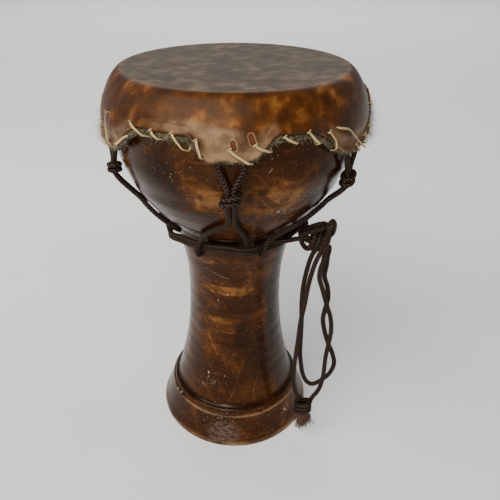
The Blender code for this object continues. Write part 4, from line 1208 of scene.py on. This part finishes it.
def shared(make):
    """The material that a function makes, made once: it bears the function's name in words."""
    return bpy.data.materials.get(make.__name__.replace("_", " ")) or make()


def settle(piece, slot, *nodes):
    """Ride on the drum's one body, and stand for its nodes by hiding them. The slot is not used."""
    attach(piece, "root")
    if nodes:
        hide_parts(*nodes)


def tight_cord(name, route, node, step, around, closed=False):
    """One braided cord that lies tight on the drum, along the smooth curve of its route."""
    path = smooth_curve(route, step, closed)
    surface = Surface(("weave",))
    add_braid(surface, path, outward(path), CORD_DIAMETER, around, closed)
    settle(surface.make(name, shared(braid_fibre)), "braided_cord", node)


class DRUM_OT_stage(bpy.types.Operator):
    """Add the floor, the soft lights and the camera"""

    bl_idname = "drum.stage"
    bl_label = "Stage and camera"

    def add(self, name, data):
        """Link a new object with its data to the scene."""
        thing = bpy.data.objects.new(name, data)
        bpy.context.scene.collection.objects.link(thing)
        return thing

    def camera(self):
        """Camera fitted to the photo, tilted up from looking straight down."""
        data = bpy.data.cameras.new("camera")
        data.lens = CAMERA_LENS
        data.sensor_width = CAMERA_SENSOR
        data.shift_x = CAMERA_SHIFT
        camera = self.add("camera", data)
        camera.location = CAMERA_PLACE
        camera.rotation_euler = (math.radians(CAMERA_TILT), 0.0, 0.0)
        bpy.context.scene.camera = camera

    def lights(self):
        """Even white room, and soft rectangular lights that face their targets."""
        world = bpy.data.worlds.new("room")
        world.use_nodes = True
        sky = world.node_tree.nodes["Background"]
        sky.inputs["Color"].default_value = (1.0, 1.0, 1.0, 1.0)
        sky.inputs["Strength"].default_value = ROOM_LIGHT
        bpy.context.scene.world = world
        for name, place, target, size, power, colour in LIGHTS:
            data = bpy.data.lights.new(name, "AREA")
            data.shape = "RECTANGLE"
            data.size, data.size_y = size
            data.energy = power
            data.color = colour
            light = self.add(name, data)
            light.location = place
            aim = Vector(target) - light.location
            light.rotation_euler = aim.to_track_quat("-Z", "Y").to_euler()

    def floor(self):
        """One wide level square under the drum."""
        corners = [(FLOOR_REACH * x, FLOOR_REACH * y, 0) for x, y in ((-1, -1), (1, -1), (1, 1), (-1, 1))]
        mesh = bpy.data.meshes.new("floor")
        mesh.from_pydata(corners, [], [(0, 1, 2, 3)])
        mesh.materials.append(stage_floor())
        self.add("floor", mesh)

    def execute(self, context):
        """The camera first, then the lights and the floor."""
        self.camera()
        self.lights()
        self.floor()
        return {"FINISHED"}


class DRUM_OT_hanging_cords(bpy.types.Operator):
    """Hang the bow loop and the two tails from the tie knot"""

    bl_idname = "drum.hanging_cords"
    bl_label = "Hanging cords"

    def execute(self, context):
        """Each cord is a braid along the smooth curve through its chosen route."""
        diameter = drum_sizes().cord_diameter
        for name, route, far_end in (("bow_loop", BOW_LOOP, "object"), ("left_tail", LEFT_TAIL, "knot"),
                                     ("right_tail", RIGHT_TAIL, "knot")):
            path = smooth_curve(route, HANGING_STEP)
            surface = Surface(("weave",))
            add_braid(surface, path, facing_front(path), diameter, 24)
            piece = surface.make("cord_" + name, shared(braid_fibre))
            settle(piece, "braided_cord", name)
        return {"FINISHED"}


class DRUM_OT_shell(bpy.types.Operator):
    """Turn the wooden shell, with its foot, bead, lip and hollow"""

    bl_idname = "drum.shell"
    bl_label = "Wooden shell"

    def execute(self, context):
        """The outline turned round the axis, with the unevenness added to its radius."""
        outside = shell_outside()
        outline = np.vstack([outside, shell_inside()])
        radius, height = outline[:, :1], outline[:, 1:]
        outer = (np.arange(len(outline)) < len(outside))[:, None]
        turn = np.degrees(circle(SHELL_COLUMNS))[None, :]
        grid = cylindrical(turn, radius + shell_lift(turn, radius, height, outer), height)
        surface = Surface(("stain_and_shade", "wear_and_highlight", "fleck", "painted_sheen"))
        surface.add(grid, True, np.arange(len(outline)), shell_marks(turn, height, outer))
        settle(surface.make("turned_shell", shared(lacquered_wood)), "lacquered_wood", "shell")
        return {"FINISHED"}


class DRUM_OT_head(bpy.types.Operator):
    """Stretch the rawhide head over the rim and fold its hem"""

    bl_idname = "drum.head"
    bl_label = "Rawhide head"

    def execute(self, context):
        """Rings of points from the inside's middle, round the hem and over to the top's middle."""
        turn = np.degrees(circle(HEAD_COLUMNS))[None, :]
        hem_out, hem_up, raw, outer = hem_fold(turn)
        inside = skin_inside(turn, hem_out[:1], hem_up[:1])
        side = skin_side(turn, hem_out[-1:], hem_up[-1:])
        flat = skin_flat(turn)
        radius = np.vstack([inside[0], hem_out, side[0], flat[0]])
        height = np.vstack([inside[1], hem_up, side[1], flat[1]])
        skin = np.ones((len(side[0]) + len(flat[0]), HEAD_COLUMNS))
        raw = np.vstack([np.full(inside[0].shape, 0.6), raw, 0 * skin])
        outer = np.vstack([np.zeros(inside[0].shape), outer, skin])
        surface = Surface(("raw", "top", "pale", "dark"))
        surface.add(cylindrical(turn, radius, height), along=np.arange(len(radius)),
                    values=hide_marks(turn, radius, height, raw, outer))
        settle(surface.make("rawhide_head", shared(head_hide)), "rawhide", "drum_head")
        return {"FINISHED"}


class DRUM_OT_hair(bpy.types.Operator):
    """Grow the short hair left on the folded hem, and the tuft at its right"""

    bl_idname = "drum.hair"
    bl_label = "Hem hair"

    def execute(self, context):
        """Each hair leaves the hem its own way, and bends with the square of its length."""
        sizes = drum_sizes()
        draw = np.random.default_rng(21)
        count = sizes.hair_count
        tuft = int(TUFT_SHARE * count)
        at_right = draw.uniform(0, 1, tuft) < RIGHT_TUFT_SHARE
        tuft_turn = np.where(at_right, draw.normal(*RIGHT_TUFT, tuft), draw.normal(*LEFT_TUFT, tuft))
        turn = np.concatenate([draw.uniform(0, 360, count - tuft), tuft_turn])
        rise = np.concatenate([draw.uniform(-0.2, 3.3, count - tuft), draw.uniform(0.0, 5.0, tuft)]) * MM
        length = sizes.hair_length * draw.uniform(0.3, 1.0, count) ** 1.4
        length[-tuft:] *= draw.uniform(1.5, 3.0, tuft)
        length *= 1 - 0.6 * tongue_share(turn)[0] * (np.abs(turn_away(turn, 0)) < 50)
        base = cylindrical(turn, HEM_RADIUS - 0.15 * MM, hem_height(turn) + rise)
        radial = unit(outward(base))
        sideways = np.cross(radial, (0.0, 0.0, 1.0))
        lean = draw.normal(0, 0.75, (count, 1))
        fall = draw.uniform(-1.3, 0.25, (count, 1))
        stand = draw.uniform(0.25, 0.8, (count, 1))
        stand[-tuft:] += 0.5
        way = unit(radial * stand + sideways * lean + np.array((0, 0, 1.0)) * fall)
        bend = sideways * draw.normal(0, 0.5, (count, 1))
        bend = bend + np.array((0, 0, -1.0)) * draw.uniform(0.1, 0.9, (count, 1))
        share = np.linspace(0, 1, 5)[None, :, None]
        reach = way[:, None] * share + 0.5 * bend[:, None] * share ** 2
        path = base[:, None] + length[:, None, None] * reach
        thick = draw.uniform(0.035, 0.075, (count, 1, 1)) * MM * (1 - 0.75 * share)
        angle = circle(3)[None, None, :]
        facing = np.broadcast_to(radial[:, None] + 0.3 * sideways[:, None], path.shape)
        tone = np.clip(draw.uniform(0, 1, (count, 1, 1)) * 0.7 + 0.4 * share, 0, 1)
        surface = Surface(("tone",))
        surface.add(sweep(path, facing, thick * np.cos(angle), thick * np.sin(angle)),
                    values={"tone": tone})
        settle(surface.make("hem_hair", shared(hem_hair)), "rawhide")
        return {"FINISHED"}


class DRUM_OT_lace(bpy.types.Operator):
    """Whip stitch the hem with the flat rawhide lace"""

    bl_idname = "drum.lace"
    bl_label = "Hem lace"

    def strap(self, surface, route, width, thickness, closed=False):
        """Flat strap with round edges along a route, its flat side away from the hem's core."""
        path = smooth_curve(route, LACE_STEP, closed)
        turn = np.degrees(np.arctan2(path[:, 0], -path[:, 1]))
        core = cylindrical(turn, HEM_RADIUS - 2.4 * MM, hem_height(turn) + 2.4 * MM)
        angle = circle(12)[None, :]
        along = distances(path)
        uneven = 1 + 0.09 * np.sin(along / (2.3 * MM)) + 0.06 * np.sin(along / (0.9 * MM) + 1.0)
        width, thickness = np.broadcast_to(width, along.shape), np.broadcast_to(thickness, along.shape)
        round_out = np.sign(np.cos(angle)) * np.abs(np.cos(angle)) ** 0.6
        round_side = np.sign(np.sin(angle)) * np.abs(np.sin(angle)) ** 0.75
        grid = sweep(path, path - core, (thickness / 2)[:, None] * round_out,
                     (width / 2 * uneven)[:, None] * round_side, closed)
        surface.add(grid, closed, along / LACE_WIDTH)

    def whip_route(self, stitches, outside):
        """Endless route: out of each hole, over the hem to its low end, and inside to the next."""
        inside = HEM_RADIUS - 6.6 * MM
        route = []
        for index, marks in enumerate(stitches):
            next_hole, next_top = stitches[(index + 1) % len(stitches)][0]
            (hole, top), (low, bottom) = marks[0], marks[-1]
            turns, heights = zip(*marks)
            route.append(cylindrical(hole - 0.3, outside - 3.2 * MM, (top - 0.4) * MM))
            route.append(cylindrical(hole, outside - 0.5 * MM, (top + 0.35) * MM))
            for share in (0.25, 0.55, 0.85):
                reach = share * (len(marks) - 1)
                turn = np.interp(reach, np.arange(len(marks)), turns)
                height = np.interp(reach, np.arange(len(marks)), heights)
                route.append(cylindrical(turn, outside + 0.25 * MM, height * MM))
            route.append(cylindrical(low + 0.2, HEM_RADIUS - 0.4 * MM, bottom * MM))
            route.append(cylindrical(low + 0.5, HEM_RADIUS - 3.0 * MM, (bottom - 0.9) * MM))
            gap = turn_away(next_hole, low)
            route.append(cylindrical(low + 0.35 * gap, inside, hem_height(low + 0.35 * gap) + 1.2 * MM))
            route.append(cylindrical(low + 0.75 * gap, inside, (next_top - 1.4) * MM))
        return route

    def loose_end(self, surface, outside, width):
        """End that lifts off the hide, and narrows by the square of the way along it."""
        route = [cylindrical(LACE_END[0][0] - 0.4, outside - 3.0 * MM, LACE_END[0][1] * MM)]
        route += [cylindrical(turn, outside + lift * MM, height * MM)
                  for (turn, height), lift in zip(LACE_END, LACE_END_LIFT)]
        taper = 1 - 0.6 * np.linspace(0, 1, len(smooth_curve(route, LACE_STEP))) ** 2
        self.strap(surface, route, 1.5 * width * taper, 1.2 * LACE_THICKNESS * taper)

    def ticks(self, surface, stitches, outside, width):
        """Short narrow bit of lace that shows above each hole."""
        for marks in stitches:
            hole, top = marks[0]
            route = [cylindrical(hole - 1.0, outside - 0.3 * MM, (top + 0.3) * MM),
                     cylindrical(hole - 0.4, outside - 0.05 * MM, (top + 1.1) * MM),
                     cylindrical(hole + 0.5, outside - 0.35 * MM, (top + 1.7) * MM)]
            self.strap(surface, route, 0.42 * width, 0.7 * LACE_THICKNESS)

    def execute(self, context):
        """One endless strap through every hole and under the hem, its end, and a tick per hole."""
        width = drum_sizes().lace_width
        outside = HEM_RADIUS + 0.9 * MM + 0.55 * LACE_THICKNESS
        stitches = stitch_marks()
        surface = Surface()
        self.strap(surface, self.whip_route(stitches, outside), width, LACE_THICKNESS, closed=True)
        self.loose_end(surface, outside, width)
        self.ticks(surface, stitches, outside, width)
        settle(surface.make("whip_lace", shared(lace_hide)), "lace_hide", "hem_lace")
        return {"FINISHED"}


class DRUM_OT_tension_cord(bpy.types.Operator):
    """Run the endless tension cord along the hem and down to the waist at each station"""

    bl_idname = "drum.tension_cord"
    bl_label = "Tension cord"

    def execute(self, context):
        """The stations' routes in turn, joined by the hem's channel between them."""
        route = []
        for index, station in enumerate(STATIONS):
            pitch = stitch_pitch(index)
            route += station_route(station, stitch_pitch(index - 1), pitch)
            for step in range(1, STITCHES[index] - 1):
                turn = station["turn"] + pitch * (step + 0.5)
                route.append(cylindrical(turn, CHANNEL_RADIUS, hem_height(turn) + HEM_CORD_RISE))
        tight_cord("braided_tension_cord", route, "tension_cord", TENSION_STEP, 18, closed=True)
        return {"FINISHED"}


class DRUM_OT_waist_cord(bpy.types.Operator):
    """Wind the waist cord twice round the neck"""

    bl_idname = "drum.waist_cord"
    bl_label = "Waist cord"

    def execute(self, context):
        """Two windings, the second one higher, pushed out by a cosine hump at each hook."""
        turn = np.linspace(TIE_TURN + WAIST_START, TIE_TURN + WAIST_END, WAIST_POINTS + 1)
        share = smooth_step((turn - TIE_TURN - WAIST_STEP_UP) / WAIST_STEP_WIDTH)
        bulge = np.zeros(turn.shape)
        for station in STATIONS:
            away = np.abs(turn_away(turn, station["turn"] + station["right"])) / WAIST_BULGE_SPREAD
            hump = 0.5 * WAIST_BULGE * (1 + np.cos(math.pi * np.minimum(away, 1.0)))
            bulge = np.maximum(bulge, hump)
        radius = WAIST_LOW_RADIUS + (WAIST_HIGH_RADIUS - WAIST_LOW_RADIUS) * share + bulge
        height = WAIST_LOW_HEIGHT + (WAIST_HIGH_HEIGHT - WAIST_LOW_HEIGHT) * share
        route = [cylindrical(TIE_TURN - 3, 61.0 * MM, WAIST_LOW_HEIGHT + 1.2 * MM),
                 cylindrical(TIE_TURN + 1, 55.0 * MM, WAIST_LOW_HEIGHT + 0.6 * MM),
                 cylindrical(TIE_TURN + 8, WAIST_LOW_RADIUS + 2.6 * MM, WAIST_LOW_HEIGHT)]
        route += list(cylindrical(turn, radius, height))
        route += [cylindrical(TIE_TURN + 705, WAIST_HIGH_RADIUS + 3.4 * MM, WAIST_HIGH_HEIGHT + 0.3 * MM),
                  cylindrical(TIE_TURN + 711, WAIST_HIGH_RADIUS + 6.6 * MM, WAIST_HIGH_HEIGHT + 0.8 * MM),
                  cylindrical(TIE_TURN + 717, WAIST_HIGH_RADIUS + 12.0 * MM, WAIST_HIGH_HEIGHT + 1.4 * MM)]
        tight_cord("braided_waist_cord", route, "waist_cord", CORD_STEP, 24)
        return {"FINISHED"}


class DRUM_OT_collars(bpy.types.Operator):
    """Wrap the pair of cords at each station twice with braided cord"""

    bl_idname = "drum.collars"
    bl_label = "Gathering collars"

    def loop(self, station, level, tilt, lean):
        """Route of one loop: a superellipse round the pair of cords, bent round the shell."""
        height = BOWL_HEIGHT - station["collar"] * MM
        middle = collar_radius(height)
        phase = np.arange(-20, 380, 20.0)
        across, deep = np.sin(np.radians(phase)), np.cos(np.radians(phase))
        fold = (np.abs(across) ** COLLAR_POWER + np.abs(deep) ** COLLAR_POWER) ** (1 / COLLAR_POWER)
        side = (4.1 * across / fold + lean) * MM
        out = np.where(deep > 0, 3.0, 2.6) * deep / fold * MM
        rise = (level + tilt * across) * MM
        return cylindrical(station["turn"] + np.degrees(side / middle), middle + out, height + rise)

    def execute(self, context):
        """Each loop is a braid along its route, which faces away from the collar's middle."""
        for number, station in enumerate(STATIONS, 1):
            middle = collar_radius(BOWL_HEIGHT - station["collar"] * MM)
            surface = Surface(("weave",))
            for loop in COLLAR_LOOPS:
                path = smooth_curve(self.loop(station, *loop), CORD_STEP)
                centre = cylindrical(station["turn"], middle, path[:, 2])
                add_braid(surface, path, path - centre, 0.94 * CORD_DIAMETER, 20)
            piece = surface.make(f"wrapped_collar_{number}", shared(braid_fibre))
            settle(piece, "braided_cord", f"gather_collar_{number}")
        return {"FINISHED"}


class DRUM_OT_tie_knot(bpy.types.Operator):
    """Tie the waist cord's ends in a wrapped knot with two standing bights"""

    bl_idname = "drum.tie_knot"
    bl_label = "Tie knot"

    def wraps(self):
        """Turns of the knot in millimetres: a helix a little over three turns long, tilted."""
        phase = np.radians(np.arange(-90, 1051, 30.0))
        turns = (phase + math.pi / 2) / TURN
        helix = np.stack([-3.0 + 3.1 * turns, -4.9 * np.cos(phase),
                          -3.6 + 5.8 * np.sin(phase) + 0.8 * turns], axis=1)
        cosine, sine = math.cos(math.radians(TIE_TILT)), math.sin(math.radians(TIE_TILT))
        lean = helix - np.array(TIE_TILT_CENTRE)
        return TIE_TILT_CENTRE + np.stack([lean[:, 0] * cosine + lean[:, 2] * sine, lean[:, 1],
                                           lean[:, 2] * cosine - lean[:, 0] * sine], axis=1)

    def execute(self, context):
        """Two closed braids: the wraps with their bights, and the ring round them."""
        surface = Surface(("weave",))
        centre = np.array(TIE_CENTRE)
        heart = centre + np.array(TIE_HEART) * MM
        for points in (np.vstack([self.wraps(), TIE_BIGHT]), np.array(TIE_RING)):
            path = smooth_curve(points * MM + centre, CORD_STEP, closed=True)
            add_braid(surface, path, path - heart, CORD_DIAMETER, 24, closed=True)
        settle(surface.make("wrapped_tie_knot", shared(braid_fibre)), "braided_cord", "tie_knot")
        return {"FINISHED"}


class DRUM_OT_tassel(bpy.types.Operator):
    """Knot the two tails together and fray their ends"""

    bl_idname = "drum.tassel"
    bl_label = "Tassel knot"

    def execute(self, context):
        """The knot first, then the strands under it."""
        self.tie()
        self.fray(drum_sizes().fray_count)
        return {"FINISHED"}

    def tie(self):
        """Overhand knot: a helix of 980 degrees that sinks as it winds, between two routes."""
        phase = np.radians(np.arange(200, 1180, 30.0))
        share = (phase - phase[0]) / (phase[-1] - phase[0])
        wraps = np.stack([4.9 * np.sin(phase) - 0.6, -4.3 * np.cos(phase),
                          7.6 - 9.8 * share + 1.9 * np.sin(phase + 0.5)], axis=1)
        centre = np.array(TASSEL_CENTRE)
        route = np.vstack([TASSEL_ENTER, wraps, TASSEL_LEAVE]) * MM + centre
        path = smooth_curve(route, CORD_STEP)
        axis = centre * np.array((1.0, 1.0, 0.0)) + path * np.array((0.0, 0.0, 1.0))
        surface = Surface(("weave",))
        add_braid(surface, path, path - axis, CORD_DIAMETER, 22)
        knot = surface.make("overhand_tassel_knot", shared(braid_fibre))
        settle(knot, "braided_cord", "tassel_knot")

    def fray(self, count):
        """Loose strands under the knot, that spread outwards, bend as the square and curl."""
        draw = np.random.default_rng(31)
        around = draw.uniform(0, TURN, count)
        start = np.sqrt(draw.uniform(0, 1, count)) * TASSEL_RADIUS
        base = np.array(TASSEL_CENTRE) + np.stack(
            [start * np.cos(around), start * np.sin(around), np.full(count, -3.2 * MM)], axis=1)
        length = draw.uniform(7.5, 14.0, count) * MM
        spread = np.stack([np.cos(around), 0.8 * np.sin(around), np.zeros(count)], axis=1)
        spread = spread * (start / TASSEL_RADIUS)[:, None]
        way = unit(spread * draw.uniform(0.0, 0.42, (count, 1)) + np.array((0.0, 0.0, -1.0)))
        bend = draw.normal(0, 0.2, (count, 3)) * np.array((1.0, 1.0, 0.2))
        along = np.linspace(0, 1, 8)[None, :, None]
        wave = along[..., 0] + 0 * around[:, None]
        curl = np.stack([np.sin(6 * wave + around[:, None]), np.cos(5 * wave + around[:, None]),
                         0 * wave], axis=-1)
        path = base[:, None] + length[:, None, None] * (
            way[:, None] * along + 0.5 * bend[:, None] * along ** 2 + 0.03 * curl * along)
        thick = draw.uniform(0.2, 0.36, (count, 1, 1)) * MM * (1 - 0.6 * along ** 2)
        angle = circle(6)[None, None, :]
        strands = Surface(("tone",))
        strands.add(sweep(path, facing_front(path), thick * np.cos(angle), thick * np.sin(angle)),
                    values={"tone": draw.uniform(0, 1, (count, 1, 1))})
        settle(strands.make("frayed_ends", shared(fray_fibre)), "braided_cord")


OPERATORS = (
    DRUM_OT_stage, DRUM_OT_tassel, DRUM_OT_hanging_cords, DRUM_OT_shell, DRUM_OT_head, DRUM_OT_hair,
    DRUM_OT_lace, DRUM_OT_tension_cord, DRUM_OT_waist_cord, DRUM_OT_collars, DRUM_OT_tie_knot,
)


class DRUM_PT_parts(bpy.types.Panel):
    """Sizes, colours and one button for each group"""
    bl_idname = "DRUM_PT_parts"
    bl_label = "Goblet drum"
    bl_space_type = "VIEW_3D"
    bl_region_type = "UI"
    bl_category = "Drum"

    def draw(self, context):
        """Every setting, then a button for every group."""
        layout = self.layout
        for group in (context.scene.drum_sizes, context.scene.drum_colours):
            for name in group.__annotations__:
                layout.prop(group, name)
        for operator in OPERATORS:
            layout.operator(operator.bl_idname)


CLASSES = (DrumSizes, DrumColours) + OPERATORS + (DRUM_PT_parts,)


def register():
    """Add the classes, and keep the sizes and colours on the scene."""
    for kind in CLASSES:
        bpy.utils.register_class(kind)
    bpy.types.Scene.drum_sizes = bpy.props.PointerProperty(type=DrumSizes)
    bpy.types.Scene.drum_colours = bpy.props.PointerProperty(type=DrumColours)


def unregister():
    """Take the settings away, then the classes in the opposite order."""
    del bpy.types.Scene.drum_colours
    del bpy.types.Scene.drum_sizes
    for kind in reversed(CLASSES):
        bpy.utils.unregister_class(kind)


def main():
    """Register the add-on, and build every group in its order."""
    register()
    bpy.ops.drum.stage()
    bpy.ops.drum.tassel()
    bpy.ops.drum.hanging_cords()
    bpy.ops.drum.shell()
    bpy.ops.drum.head()
    bpy.ops.drum.hair()
    bpy.ops.drum.lace()
    bpy.ops.drum.tension_cord()
    bpy.ops.drum.waist_cord()
    bpy.ops.drum.collars()
    bpy.ops.drum.tie_knot()


if __name__ == "__main__":
    main()
